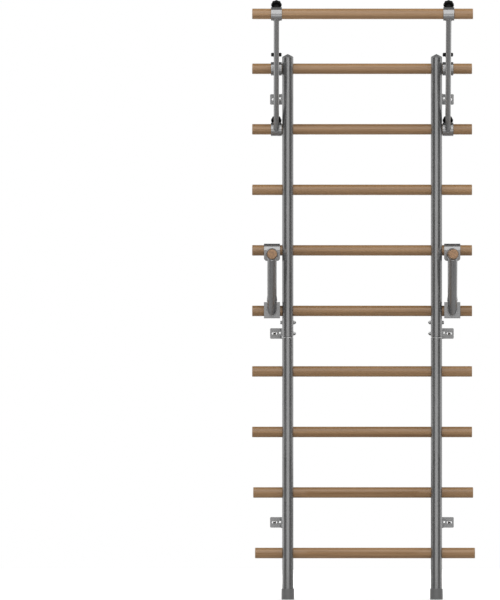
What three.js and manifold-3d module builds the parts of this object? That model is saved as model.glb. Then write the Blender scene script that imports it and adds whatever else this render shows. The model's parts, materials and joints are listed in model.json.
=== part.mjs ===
// Swedish wall bars: two steel uprights carry nine wooden rungs and are screwed to a wall by six brackets.
// A pull-up bar hangs in two clamped brackets on the top rungs, and two dip arms hook over the fourth rung.
// Millimetres, +Z up. The wall is the plane y = 0, the floor is z = 0, and the user stands on the -Y side.
import * as THREE from "three";
import { mergeVertices } from "three/addons/utils/BufferGeometryUtils.js";
import Module from "manifold-3d";

// Clearances
const SEAT_GAP = 0.3; // between two pieces that touch
const SLIDE_CLEARANCE = 0.5; // all round a rung, in the collars and hooks that move on it

// Rungs, numbered from the top
const RUNG_COUNT = 9;
const RUNG_PITCH = 230;
const LOWEST_RUNG_HEIGHT = 177;
const RUNG_DIAMETER = 40;
const RUNG_OVERHANG = 114.5; // past the outer face of each upright
const RUNG_CHAMFER = 3;
const LAST_RUNG_SHIFT = 11; // the lowest rung is pushed this far to the right
const SECOND_LAST_RUNG_SHIFT = 4;

// Uprights: flat oval tube, in two lengths joined on an inner spigot
const UPRIGHT_SPACING = 565;
const UPRIGHT_WIDTH = 42;
const UPRIGHT_DEPTH = 84;
const UPRIGHT_WALL = 2;
const WALL_DISTANCE = 148; // from the wall to the axes of the rungs
const UPRIGHT_ABOVE_TOP_RUNG = 43;
const JOINT_RUNG = 5; // the joint lies under this rung
const JOINT_BELOW_RUNG = 98.5;
const JOINT_LINE = 1.5;
const SPIGOT_WALL = 3;
const SPIGOT_RUNG_GAP = 9;

// Plastic ends of the uprights
const CAP_RIM = 2;
const CAP_RISE = 11;
const CAP_RIDGE_LENGTH = 4;
const CAP_PLUG_DEPTH = 12;
const FOOT_HEIGHT = 42;
const FOOT_WALL = 2.5;
const FOOT_FLOOR = 6;
const FOOT_CHAMFER = 1.2;

// Flange bolts and nuts
const BOLT_DIAMETER = 8;
const BOLT_ACROSS_FLATS = 13;
const BOLT_HEAD_HEIGHT = 5.4;
const BOLT_FLANGE_DIAMETER = 17;
const BOLT_FLANGE_HEIGHT = 1.8;
const BOLT_END = 3; // thread that shows past a nut
const JOINT_BOLT_ABOVE_JOINT = 12.5;
const JOINT_BOLT_SPACING = 42;
const INSERT_DIAMETER = 14; // threaded insert in the tube wall, for the bracket bolts
const INSERT_LENGTH = 11;

// Wall brackets: flat bar, bent outwards at the wall
const BRACKET_HEIGHT = 40;
const BRACKET_THICKNESS = 4;
const BRACKET_FRONT_MARGIN = 12; // ahead of its bolt
const BRACKET_CORNER = 4;
const BRACKET_BEND = 3; // inner radius
const FLANGE_REACH = 46; // from the upright
const SLOT_LENGTH = 20;
const SLOT_WIDTH = 8;
const WALL_SCREW_INSET = 16.5; // from the outer end of the flange
const WALL_SCREW_DIAMETER = 6;
const WALL_SCREW_HEAD = 13;
const WALL_SCREW_HEAD_HEIGHT = 5;
const WALL_SCREW_REACH = 15; // into the wall
const WALL_SCREW_POINT = 6;
const DOME_SHOULDER = 0.75; // of a dome head's radius and height, where its round edge turns inwards

// Screws that lock the lowest rung from behind
const LOCK_SCREW_DIAMETER = 4;
const LOCK_SCREW_HEAD = 8;
const LOCK_SCREW_HEAD_HEIGHT = 2.5;
const LOCK_SCREW_GRIP = 12; // length in the wood
const LOCK_SCREW_POINT = 2;

// Pull-up bar and its brackets
const BAR_DIAMETER = 40;
const BAR_OVERHANG = 114.5; // past the outer face of each upright
const BAR_CHAMFER = 3;
const BAR_REACH = 360; // ahead of the rungs
const BAR_RISE = 204; // above the top rung
const COLLAR_WALL = 5;
const COLLAR_WIDTH = 41;
const COLLAR_UPRIGHT_GAP = 2;
const ARM_DEPTH = 50;
const ARM_THICKNESS = 20;
const ARM_WALL = 2;
const STRUT_DEPTH = 46;
const STRUT_THICKNESS = 14;
const STRUT_CORNER = 3;
const ARM_HOLE_DIAMETER = 11;
const UPPER_ARM_HOLE = 198; // arm holes are measured down the arm from the pull-up bar
const LOWER_ARM_HOLE = 325;
const SMALL_KEYHOLE = 106;
const SMALL_KEYHOLE_DIAMETER = 9;
const SMALL_KEYHOLE_SLOT = 4.5;
const SMALL_KEYHOLE_LENGTH = 15;
const LARGE_KEYHOLE = 261;
const LARGE_KEYHOLE_DIAMETER = 14;
const LARGE_KEYHOLE_SLOT = 6.5;
const LARGE_KEYHOLE_LENGTH = 12;

// Clamp knobs
const KNOB_DIAMETER = 40;
const KNOB_HEAD_HEIGHT = 14.5;
const KNOB_LOBES = 8;
const KNOB_LOBE_DEPTH = 3;
const KNOB_EDGE = 1.8;
const KNOB_HUB_HEIGHT = 17;
const KNOB_HUB_TOP = 20;
const KNOB_HUB_BOTTOM = 11;
const KNOB_NECK_HEIGHT = 3; // straight foot of the hub
const KNOB_STANDOFF = 4; // bare stud between collar and hub
const STUD_DIAMETER = 8;

// Dip arms: welded frames with a wooden grip
const HOOK_RUNG = 4;
const SADDLE_RUNG = 5;
const PLATE_WIDTH = 61; // hook and saddle
const DIP_UPRIGHT_GAP = 8.5;
const HOOK_THICKNESS = 5;
const HOOK_LEG = 40; // below the axis of its rung
const HOOK_CORNER = 11;
const SADDLE_THICKNESS = 4;
const SADDLE_GAP_ABOVE = 9.5;
const SADDLE_GAP_BELOW = 4;
const SADDLE_LEG = 18; // behind the axis of its rung
const GRIP_DIAMETER = 39;
const GRIP_REACH = 546; // ahead of the rungs
const GRIP_DROP = 15; // below the axis of the hook's rung
const GRIP_CHAMFER = 3;
const SLEEVE_WALL = 2;
const SLEEVE_REACH = 81; // closed part, ahead of the rungs
const SLEEVE_SLANT = 16;
const TROUGH_REACH = 265;
const TROUGH_SLANT = 11;
const TROUGH_RIM_DROP = 2; // rims below the axis of the grip
const DIP_TUBE_DIAMETER = 35;
const DIP_TUBE_WALL = 2;
const POST_REACH = 55;
const BRACE_SETBACK = 33; // where its axis meets the axis of the grip, behind the tip of the trough
const BRACE_FOOT_RISE = 6; // where its axis meets the saddle, above the axis of the saddle's rung
const VENT_DIAMETER = 8;
const GRIP_SCREW_INSET = 12; // from the tip of the trough
const GRIP_SCREW_DIAMETER = 4.5;
const GRIP_SCREW_HEAD = 10;
const GRIP_SCREW_HEAD_HEIGHT = 4;
const GRIP_SCREW_LENGTH = 20; // length in the wood
const GRIP_SCREW_POINT = 3;

// Facets
const ROUND_FACETS = 16;
const SMALL_FACETS = 8;
const ARC_STEPS = 4; // half the steps of each arc in an outline
const BEND_STEPS = 2; // the same for small bends and for hidden insides
const ARM_STEPS = 3; // the same for the arms of the pull-up brackets
const CORNER_STEPS = 1;
const LOBE_FACETS = 4;

// Values worked out from the sizes above
const RUNG_RADIUS = RUNG_DIAMETER / 2;
const BAR_RADIUS = BAR_DIAMETER / 2;
const BOLT_HOLE = BOLT_DIAMETER / 2 + SEAT_GAP;
const UPRIGHT_FACE = UPRIGHT_WIDTH / 2;
const BRACKET_FACE = UPRIGHT_FACE + SEAT_GAP + BRACKET_THICKNESS; // outer face of a bracket on its upright
const RUNG_LENGTH = UPRIGHT_SPACING + UPRIGHT_WIDTH + 2 * RUNG_OVERHANG;
const BAR_LENGTH = UPRIGHT_SPACING + UPRIGHT_WIDTH + 2 * BAR_OVERHANG;
const JOINT_HEIGHT = rungHeight(JOINT_RUNG) - JOINT_BELOW_RUNG;
const UPRIGHT_BASE = FOOT_FLOOR + SEAT_GAP;
const UPRIGHT_TOP = rungHeight(1) + UPRIGHT_ABOVE_TOP_RUNG;
const LOW_JOINT_BOLT = JOINT_HEIGHT + JOINT_BOLT_ABOVE_JOINT;
const HIGH_JOINT_BOLT = LOW_JOINT_BOLT + JOINT_BOLT_SPACING;
const TOP_BRACKET = rungHeight(2) + RUNG_PITCH / 2;
const BOTTOM_BRACKET = LOWEST_RUNG_HEIGHT + RUNG_PITCH / 2;
const ARM_RISE = RUNG_PITCH + BAR_RISE;
const ARM_LENGTH = Math.hypot(BAR_REACH, ARM_RISE);
const ARM_LEAN = Math.atan2(BAR_REACH, ARM_RISE);
const HOOK_BORE = RUNG_RADIUS + SLIDE_CLEARANCE;
const HOOK_FACE = HOOK_BORE + HOOK_THICKNESS;
const SLEEVE_BORE = GRIP_DIAMETER / 2 + SEAT_GAP;
const SLEEVE_RADIUS = SLEEVE_BORE + SLEEVE_WALL;
const GRIP_LEVEL = -GRIP_DROP; // levels on a dip arm are above the axis of the rung it hooks over
const SADDLE_LEVEL = rungHeight(SADDLE_RUNG) - rungHeight(HOOK_RUNG);
const SADDLE_BACK_FACE = -RUNG_RADIUS - SEAT_GAP; // of the web, against its rung
const BRACE_REACH = TROUGH_REACH - BRACE_SETBACK;

const wasm = await Module();
wasm.setup();

function rungHeight(number) {
  return LOWEST_RUNG_HEIGHT + (RUNG_COUNT - number) * RUNG_PITCH;
}

// The bore and the outside of a collar that slides on a bar.
function collarBore(barRadius) {
  return barRadius + SLIDE_CLEARANCE;
}

function collarRadius(barRadius) {
  return collarBore(barRadius) + COLLAR_WALL;
}

// Solids for cutting and joining, and the geometry that comes back

function solidOf(geometry) {
  const bare = geometry.clone();
  bare.deleteAttribute("normal");
  bare.deleteAttribute("uv");
  const merged = mergeVertices(bare);
  const mesh = new wasm.Mesh({
    numProp: 3,
    vertProperties: new Float32Array(merged.attributes.position.array),
    triVerts: new Uint32Array(merged.index.array),
  });
  return new wasm.Manifold(mesh);
}

function geometryOf(solid) {
  const mesh = solid.getMesh();
  const geometry = new THREE.BufferGeometry();
  geometry.setAttribute("position", new THREE.BufferAttribute(mesh.vertProperties, 3));
  geometry.setIndex(new THREE.BufferAttribute(mesh.triVerts, 1));
  geometry.computeVertexNormals();
  return geometry;
}

function joined(geometries) {
  return geometries.map(solidOf).reduce((whole, next) => whole.add(next));
}

function cut(solid, geometries) {
  return geometries.map(solidOf).reduce((left, tool) => left.subtract(tool), solid);
}

// Round bars along each axis, about the origin

function rodAlongX(radius, length, facets = ROUND_FACETS) {
  return new THREE.CylinderGeometry(radius, radius, length, facets).rotateZ(Math.PI / 2);
}

function rodAlongY(radius, length, facets = ROUND_FACETS) {
  return new THREE.CylinderGeometry(radius, radius, length, facets);
}

function rodAlongZ(radius, length, facets = ROUND_FACETS) {
  return new THREE.CylinderGeometry(radius, radius, length, facets).rotateX(Math.PI / 2);
}

// A round bar from one point to another in the plane x = 0.
function rodBetween(radius, from, to, facets = ROUND_FACETS) {
  const along = new THREE.Vector3().subVectors(to, from);
  const turn = new THREE.Quaternion().setFromUnitVectors(
    new THREE.Vector3(0, 1, 0),
    along.clone().normalize(),
  );
  const middle = new THREE.Vector3().addVectors(from, to).multiplyScalar(0.5);
  return rodAlongY(radius, along.length(), facets).applyQuaternion(turn).translate(...middle);
}

// Outlines, and extrusions of them

function outline(points) {
  return new THREE.Shape(points.map(([across, up]) => new THREE.Vector2(across, up)));
}

function flatOval(width, depth) {
  const radius = width / 2;
  const straight = depth / 2 - radius;
  const shape = new THREE.Shape();
  shape.moveTo(radius, -straight);
  shape.lineTo(radius, straight);
  shape.absarc(0, straight, radius, 0, Math.PI);
  shape.lineTo(-radius, -straight);
  shape.absarc(0, -straight, radius, Math.PI, 2 * Math.PI);
  return shape;
}

function roundedRectangle(width, height, radius) {
  const right = width / 2;
  const top = height / 2;
  const shape = new THREE.Shape();
  shape.moveTo(right, -top + radius);
  shape.absarc(right - radius, top - radius, radius, 0, Math.PI / 2);
  shape.absarc(-right + radius, top - radius, radius, Math.PI / 2, Math.PI);
  shape.absarc(-right + radius, -top + radius, radius, Math.PI, 1.5 * Math.PI);
  shape.absarc(right - radius, -top + radius, radius, 1.5 * Math.PI, 2 * Math.PI);
  return shape;
}

// Outline in X and Y, extruded up from z = 0.
function planExtrusion(shape, height, steps = ARC_STEPS) {
  return new THREE.ExtrudeGeometry(shape, {
    depth: height,
    bevelEnabled: false,
    curveSegments: steps,
  });
}

// Outline in Y and Z, extruded along X about its middle.
function sideExtrusion(shape, width, steps = ARC_STEPS) {
  const turn = new THREE.Matrix4().makeBasis(
    new THREE.Vector3(0, 1, 0),
    new THREE.Vector3(0, 0, 1),
    new THREE.Vector3(1, 0, 0),
  );
  return planExtrusion(shape, width, steps)
    .translate(0, 0, -width / 2)
    .applyMatrix4(turn);
}

// Outline in X and Z, extruded along Y about its middle.
function frontExtrusion(shape, depth, steps = ARC_STEPS) {
  return planExtrusion(shape, depth, steps)
    .translate(0, 0, -depth / 2)
    .rotateX(Math.PI / 2);
}

// A revolved profile of [radius, height] points that starts and ends on the axis +Z.
function turned(points, facets = ROUND_FACETS) {
  const profile = points.map(([radius, height]) => new THREE.Vector2(radius, height));
  return new THREE.LatheGeometry(profile, facets).rotateX(Math.PI / 2);
}

// Rungs and bars

function woodenBar(diameter, length, chamfer) {
  const radius = diameter / 2;
  const end = length / 2;
  return turned([
    [0, -end],
    [radius - chamfer, -end],
    [radius, -end + chamfer],
    [radius, end - chamfer],
    [radius - chamfer, end],
    [0, end],
  ]).rotateY(Math.PI / 2);
}

// The lowest rung has a pilot hole from behind for each lock screw.
function lockedRung() {
  const depth = LOCK_SCREW_GRIP + 2 * SEAT_GAP;
  const holes = [-1, 1].map((side) => {
    const hole = rodAlongY(LOCK_SCREW_DIAMETER / 2 + SEAT_GAP, depth, SMALL_FACETS);
    return hole.translate(
      (side * UPRIGHT_SPACING) / 2 - LAST_RUNG_SHIFT,
      RUNG_RADIUS - LOCK_SCREW_GRIP / 2,
      0,
    );
  });
  return geometryOf(cut(solidOf(woodenBar(RUNG_DIAMETER, RUNG_LENGTH, RUNG_CHAMFER)), holes));
}

// Uprights

function uprightTube(bottom, top) {
  const shape = flatOval(UPRIGHT_WIDTH, UPRIGHT_DEPTH);
  shape.holes.push(flatOval(UPRIGHT_WIDTH - 2 * UPRIGHT_WALL, UPRIGHT_DEPTH - 2 * UPRIGHT_WALL));
  return planExtrusion(shape, top - bottom).translate(0, 0, bottom);
}

function rungHoles(bottom, top) {
  const holes = [];
  for (let number = 1; number <= RUNG_COUNT; number += 1) {
    const height = rungHeight(number);
    if (height > bottom && height < top) {
      holes.push(rodAlongX(RUNG_RADIUS + SEAT_GAP, 2 * UPRIGHT_WIDTH).translate(0, 0, height));
    }
  }
  return holes;
}

// A wall of the tube thickened by a threaded insert, with the bolt hole through both.
function withInsert(tube, side, height) {
  const inner = UPRIGHT_FACE - UPRIGHT_WALL;
  const insert = rodAlongX(INSERT_DIAMETER / 2, INSERT_LENGTH + UPRIGHT_WALL / 2, SMALL_FACETS);
  insert.translate(side * (inner - INSERT_LENGTH / 2 + UPRIGHT_WALL / 4), 0, height);
  const hole = rodAlongX(BOLT_HOLE, UPRIGHT_WIDTH, SMALL_FACETS).translate(side * UPRIGHT_FACE, 0, height);
  return cut(tube.add(solidOf(insert)), [hole]);
}

function upperUpright(side) {
  const holes = rungHoles(JOINT_HEIGHT, UPRIGHT_TOP);
  for (const height of [LOW_JOINT_BOLT, HIGH_JOINT_BOLT]) {
    holes.push(rodAlongX(BOLT_HOLE, 2 * UPRIGHT_WIDTH, SMALL_FACETS).translate(0, 0, height));
  }
  const tube = cut(solidOf(uprightTube(JOINT_HEIGHT, UPRIGHT_TOP)), holes);
  return geometryOf(withInsert(tube, side, TOP_BRACKET));
}

function lowerUpright(side) {
  const top = JOINT_HEIGHT - JOINT_LINE;
  const holes = rungHoles(UPRIGHT_BASE, top);
  const lockHole = rodAlongY(LOCK_SCREW_DIAMETER / 2 + SEAT_GAP, UPRIGHT_DEPTH / 2, SMALL_FACETS);
  holes.push(lockHole.translate(0, UPRIGHT_DEPTH / 2, LOWEST_RUNG_HEIGHT));
  const tube = cut(solidOf(uprightTube(UPRIGHT_BASE, top)), holes);
  return geometryOf(withInsert(tube, side, BOTTOM_BRACKET));
}

function jointSpigot() {
  const width = UPRIGHT_WIDTH - 2 * UPRIGHT_WALL - 2 * SEAT_GAP;
  const depth = UPRIGHT_DEPTH - 2 * UPRIGHT_WALL - 2 * SEAT_GAP;
  const top = rungHeight(JOINT_RUNG) - RUNG_RADIUS - SPIGOT_RUNG_GAP;
  const bottom = rungHeight(JOINT_RUNG + 1) + RUNG_RADIUS + SPIGOT_RUNG_GAP;
  const shape = flatOval(width, depth);
  shape.holes.push(flatOval(width - 2 * SPIGOT_WALL, depth - 2 * SPIGOT_WALL));
  const tube = planExtrusion(shape, top - bottom, BEND_STEPS).translate(0, 0, bottom);
  const holes = [LOW_JOINT_BOLT, HIGH_JOINT_BOLT].map((height) =>
    rodAlongX(BOLT_HOLE, 2 * UPRIGHT_WIDTH, SMALL_FACETS).translate(0, 0, height),
  );
  return geometryOf(cut(solidOf(tube), holes));
}

// A plug with a low crown. Its four slopes meet in a short ridge that runs front to back.
function topCap() {
  const rise = CAP_RIM + CAP_RISE;
  const crown = planExtrusion(flatOval(UPRIGHT_WIDTH, UPRIGHT_DEPTH), rise);
  const gable = outline([
    [-UPRIGHT_FACE, 0],
    [UPRIGHT_FACE, 0],
    [UPRIGHT_FACE, CAP_RIM],
    [0, rise],
    [-UPRIGHT_FACE, CAP_RIM],
  ]);
  const end = UPRIGHT_DEPTH / 2;
  const hip = outline([
    [-end, 0],
    [end, 0],
    [end, CAP_RIM],
    [CAP_RIDGE_LENGTH / 2, rise],
    [-CAP_RIDGE_LENGTH / 2, rise],
    [-end, CAP_RIM],
  ]);
  const roof = solidOf(crown)
    .intersect(solidOf(frontExtrusion(gable, 2 * UPRIGHT_DEPTH)))
    .intersect(solidOf(sideExtrusion(hip, 2 * UPRIGHT_WIDTH)));
  const inside = 2 * (UPRIGHT_WALL + SEAT_GAP);
  const plugShape = flatOval(UPRIGHT_WIDTH - inside, UPRIGHT_DEPTH - inside);
  const plug = planExtrusion(plugShape, CAP_PLUG_DEPTH + CAP_RIM / 2, BEND_STEPS);
  return geometryOf(roof.add(solidOf(plug.translate(0, 0, -CAP_PLUG_DEPTH))));
}

function foot() {
  const spread = 2 * (SEAT_GAP + FOOT_WALL);
  const shape = flatOval(UPRIGHT_WIDTH + spread, UPRIGHT_DEPTH + spread);
  const block = new THREE.ExtrudeGeometry(shape, {
    depth: FOOT_HEIGHT - 2 * FOOT_CHAMFER,
    bevelThickness: FOOT_CHAMFER,
    bevelSize: FOOT_CHAMFER,
    bevelOffset: -FOOT_CHAMFER,
    bevelSegments: 1,
    curveSegments: ARC_STEPS,
  }).translate(0, 0, FOOT_CHAMFER);
  const pocketShape = flatOval(UPRIGHT_WIDTH + 2 * SEAT_GAP, UPRIGHT_DEPTH + 2 * SEAT_GAP);
  const pocket = planExtrusion(pocketShape, FOOT_HEIGHT).translate(0, 0, FOOT_FLOOR);
  return geometryOf(cut(solidOf(block), [pocket]));
}

// Bolts, nuts and screws. Each stands on z = 0 with its head up and its shank down.

function hexHead() {
  const flange = turned(
    [
      [0, 0],
      [BOLT_FLANGE_DIAMETER / 2, 0],
      [BOLT_ACROSS_FLATS / 2, BOLT_FLANGE_HEIGHT],
      [0, BOLT_FLANGE_HEIGHT],
    ],
    SMALL_FACETS,
  );
  const corner = BOLT_ACROSS_FLATS / 2 / Math.cos(Math.PI / 6);
  const height = BOLT_HEAD_HEIGHT + BOLT_FLANGE_HEIGHT / 2;
  const hexagon = rodAlongZ(corner, height, 6).translate(0, 0, (height + BOLT_FLANGE_HEIGHT) / 2);
  return joined([flange, hexagon]);
}

function flangeBolt(shankLength) {
  const shank = rodAlongZ(BOLT_DIAMETER / 2, shankLength + BOLT_FLANGE_HEIGHT, SMALL_FACETS);
  shank.translate(0, 0, (BOLT_FLANGE_HEIGHT - shankLength) / 2);
  return geometryOf(hexHead().add(solidOf(shank)));
}

function flangeNut() {
  const bore = rodAlongZ(BOLT_HOLE, 4 * BOLT_HEAD_HEIGHT, SMALL_FACETS);
  return geometryOf(cut(hexHead(), [bore]));
}

function domeScrew(headDiameter, headHeight, shankDiameter, shankLength, point) {
  const head = headDiameter / 2;
  const shank = shankDiameter / 2;
  return turned(
    [
      [0, -shankLength],
      [shank, point - shankLength],
      [shank, 0],
      [head, 0],
      [head * DOME_SHOULDER, headHeight * DOME_SHOULDER],
      [0, headHeight],
    ],
    SMALL_FACETS,
  );
}

// Wall brackets

function wallBracket(side) {
  const inner = UPRIGHT_FACE + SEAT_GAP;
  const end = UPRIGHT_FACE + FLANGE_REACH;
  const front = -WALL_DISTANCE - BRACKET_FRONT_MARGIN;
  const bendCentre = inner + BRACKET_THICKNESS + BRACKET_BEND;
  const bendBack = -BRACKET_THICKNESS - BRACKET_BEND;
  const plan = new THREE.Shape();
  plan.moveTo(inner, front);
  plan.lineTo(inner + BRACKET_THICKNESS, front);
  plan.absarc(bendCentre, bendBack, BRACKET_BEND, Math.PI, Math.PI / 2, true);
  plan.lineTo(end, -BRACKET_THICKNESS);
  plan.lineTo(end, 0);
  plan.absarc(bendCentre, bendBack, BRACKET_BEND + BRACKET_THICKNESS, Math.PI / 2, Math.PI);
  const bar = planExtrusion(plan, BRACKET_HEIGHT, BEND_STEPS).translate(0, 0, -BRACKET_HEIGHT / 2);
  const legLength = 2 * (WALL_DISTANCE + BRACKET_FRONT_MARGIN);
  const legShape = roundedRectangle(legLength, BRACKET_HEIGHT, BRACKET_CORNER);
  const legEnds = sideExtrusion(legShape, 4 * end, CORNER_STEPS);
  const flangeShape = roundedRectangle(2 * end, BRACKET_HEIGHT, BRACKET_CORNER);
  const flangeEnds = frontExtrusion(flangeShape, 4 * legLength, CORNER_STEPS);
  const rounded = solidOf(bar).intersect(solidOf(legEnds)).intersect(solidOf(flangeEnds));
  const boltHole = rodAlongX(BOLT_HOLE, UPRIGHT_WIDTH, SMALL_FACETS);
  boltHole.translate(BRACKET_FACE, -WALL_DISTANCE, 0);
  const slotShape = roundedRectangle(SLOT_LENGTH, SLOT_WIDTH, SLOT_WIDTH / 2 - SEAT_GAP);
  const slot = frontExtrusion(slotShape, 4 * BRACKET_THICKNESS, CORNER_STEPS);
  slot.translate(end - WALL_SCREW_INSET, 0, 0);
  const bracket = geometryOf(cut(rounded, [boltHole, slot]));
  return side > 0 ? bracket : mirroredInX(bracket);
}

function mirroredInX(geometry) {
  geometry.scale(-1, 1, 1);
  const corners = geometry.index.array;
  for (let first = 0; first < corners.length; first += 3) {
    [corners[first], corners[first + 1]] = [corners[first + 1], corners[first]];
  }
  geometry.computeVertexNormals();
  return geometry;
}

// Pull-up brackets, about the axis of the second rung: a leaning arm, a level strut and three collars

// Moves a piece made along +Z into the line of the arm, which leans forwards.
function alongArm(geometry, distance) {
  return geometry.translate(0, 0, distance).rotateX(ARM_LEAN);
}

// A slot down the arm from a round hole, as a keyhole has.
function keyhole(distance, diameter, slotWidth, slotLength, turn) {
  const round = rodAlongX(diameter / 2, 2 * COLLAR_WIDTH, SMALL_FACETS);
  const slot = new THREE.BoxGeometry(2 * COLLAR_WIDTH, slotWidth, slotLength);
  slot.translate(0, 0, -slotLength / 2).rotateX(turn);
  return [round, slot].map((piece) => alongArm(piece, ARM_LENGTH - distance));
}

function armHoles() {
  const round = [UPPER_ARM_HOLE, LOWER_ARM_HOLE].map((distance) =>
    alongArm(rodAlongX(ARM_HOLE_DIAMETER / 2, 2 * COLLAR_WIDTH, SMALL_FACETS), ARM_LENGTH - distance),
  );
  const small = [SMALL_KEYHOLE, SMALL_KEYHOLE_DIAMETER, SMALL_KEYHOLE_SLOT, SMALL_KEYHOLE_LENGTH];
  const large = [LARGE_KEYHOLE, LARGE_KEYHOLE_DIAMETER, LARGE_KEYHOLE_SLOT, LARGE_KEYHOLE_LENGTH];
  return [...round, ...keyhole(...small, 0), ...keyhole(...large, -ARM_LEAN)];
}

// The hole for a knob's stud, along +Z through the wall of a collar.
function studHole(barRadius) {
  const hole = rodAlongZ(STUD_DIAMETER / 2 + SEAT_GAP, collarRadius(barRadius), SMALL_FACETS);
  return hole.translate(0, 0, collarRadius(barRadius));
}

function pullUpBracket() {
  const arm = alongArm(planExtrusion(flatOval(ARM_THICKNESS, ARM_DEPTH), ARM_LENGTH, ARM_STEPS), 0);
  const strutLength = (BAR_REACH * RUNG_PITCH) / ARM_RISE;
  const strutShape = roundedRectangle(STRUT_THICKNESS, STRUT_DEPTH, STRUT_CORNER);
  const strut = frontExtrusion(strutShape, strutLength, CORNER_STEPS);
  strut.translate(0, -strutLength / 2, RUNG_PITCH);
  const seats = [
    [0, 0, RUNG_RADIUS],
    [0, RUNG_PITCH, RUNG_RADIUS],
    [-BAR_REACH, ARM_RISE, BAR_RADIUS],
  ];
  const collars = seats.map(([y, z, bar]) => rodAlongX(collarRadius(bar), COLLAR_WIDTH).translate(0, y, z));
  const bores = seats.map(([y, z, bar]) => rodAlongX(collarBore(bar), 2 * COLLAR_WIDTH).translate(0, y, z));

  const rungCollar = collarRadius(RUNG_RADIUS);
  const armInside = flatOval(ARM_THICKNESS - 2 * ARM_WALL, ARM_DEPTH - 2 * ARM_WALL);
  const armInsideLength = ARM_LENGTH - rungCollar - collarRadius(BAR_RADIUS);
  const armHollow = alongArm(planExtrusion(armInside, armInsideLength, BEND_STEPS), rungCollar);
  const strutInside = roundedRectangle(
    STRUT_THICKNESS - 2 * ARM_WALL,
    STRUT_DEPTH - 2 * ARM_WALL,
    STRUT_CORNER - ARM_WALL,
  );
  const strutInsideLength = strutLength - rungCollar;
  const strutHollow = frontExtrusion(strutInside, strutInsideLength, CORNER_STEPS);
  strutHollow.translate(0, -rungCollar - strutInsideLength / 2, RUNG_PITCH);

  const acrossArm = (hole, distance) => alongArm(hole.rotateX(-Math.PI / 2), distance);
  const studHoles = [
    acrossArm(studHole(RUNG_RADIUS), 0),
    studHole(RUNG_RADIUS).translate(0, 0, RUNG_PITCH),
    acrossArm(studHole(BAR_RADIUS), ARM_LENGTH),
  ];
  const welded = joined([arm, strut, ...collars]);
  const hollow = joined([armHollow, strutHollow]);
  return geometryOf(cut(welded.subtract(hollow), [...bores, ...armHoles(), ...studHoles]));
}

// A star knob on its stud. Its axis is +Z, and z = 0 is the axis of the bar that it clamps.
function clampKnob(barRadius) {
  const hubBottom = collarRadius(barRadius) + KNOB_STANDOFF;
  const headBottom = hubBottom + KNOB_HUB_HEIGHT;
  const studTip = barRadius + SEAT_GAP;
  const count = KNOB_LOBES * LOBE_FACETS;
  const rim = [];
  for (let step = 0; step < count; step += 1) {
    const angle = (2 * Math.PI * step) / count;
    const radius = KNOB_DIAMETER / 2 - (KNOB_LOBE_DEPTH * (1 - Math.cos(KNOB_LOBES * angle))) / 2;
    rim.push([radius * Math.cos(angle), radius * Math.sin(angle)]);
  }
  const head = new THREE.ExtrudeGeometry(outline(rim), {
    depth: KNOB_HEAD_HEIGHT - 2 * KNOB_EDGE,
    bevelThickness: KNOB_EDGE,
    bevelSize: KNOB_EDGE,
    bevelOffset: -KNOB_EDGE,
    bevelSegments: 1,
  }).translate(0, 0, headBottom + KNOB_EDGE);
  const shank = turned(
    [
      [0, studTip],
      [STUD_DIAMETER / 2, studTip],
      [STUD_DIAMETER / 2, hubBottom],
      [KNOB_HUB_BOTTOM / 2, hubBottom],
      [KNOB_HUB_BOTTOM / 2, hubBottom + KNOB_NECK_HEIGHT],
      [KNOB_HUB_TOP / 2, headBottom + KNOB_EDGE],
      [0, headBottom + KNOB_EDGE],
    ],
    SMALL_FACETS,
  );
  return geometryOf(joined([head, shank]));
}

// Dip arms, about the axis of the rung that they hook over

function hookStrap() {
  const strap = new THREE.Shape();
  strap.moveTo(HOOK_FACE, -HOOK_LEG);
  strap.absarc(0, 0, HOOK_FACE, 0, Math.PI);
  strap.lineTo(-HOOK_FACE, -HOOK_LEG);
  strap.lineTo(-HOOK_BORE, -HOOK_LEG);
  strap.absarc(0, 0, HOOK_BORE, Math.PI, 0, true);
  strap.lineTo(HOOK_BORE, -HOOK_LEG);
  const reach = 2 * HOOK_LEG;
  const face = new THREE.Shape();
  face.moveTo(PLATE_WIDTH / 2, reach);
  face.lineTo(-PLATE_WIDTH / 2, reach);
  const across = PLATE_WIDTH / 2 - HOOK_CORNER;
  const up = HOOK_CORNER - HOOK_LEG;
  face.absarc(-across, up, HOOK_CORNER, Math.PI, 1.5 * Math.PI);
  face.absarc(across, up, HOOK_CORNER, 1.5 * Math.PI, 2 * Math.PI);
  const rounded = solidOf(frontExtrusion(face, 4 * HOOK_FACE, BEND_STEPS));
  return solidOf(sideExtrusion(strap, PLATE_WIDTH)).intersect(rounded);
}

function saddleInside(width) {
  const top = RUNG_RADIUS + SADDLE_GAP_ABOVE;
  const bottom = -RUNG_RADIUS - SADDLE_GAP_BELOW;
  const depth = 2 * SADDLE_LEG - SADDLE_BACK_FACE;
  return new THREE.BoxGeometry(width, depth, top - bottom).translate(
    0,
    SADDLE_BACK_FACE + depth / 2,
    SADDLE_LEVEL + (top + bottom) / 2,
  );
}

function saddlePlate() {
  const top = RUNG_RADIUS + SADDLE_GAP_ABOVE + SADDLE_THICKNESS;
  const bottom = -RUNG_RADIUS - SADDLE_GAP_BELOW - SADDLE_THICKNESS;
  const front = SADDLE_BACK_FACE - SADDLE_THICKNESS;
  const depth = SADDLE_LEG - front;
  return new THREE.BoxGeometry(PLATE_WIDTH, depth, top - bottom).translate(
    0,
    front + depth / 2,
    SADDLE_LEVEL + (top + bottom) / 2,
  );
}

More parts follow.
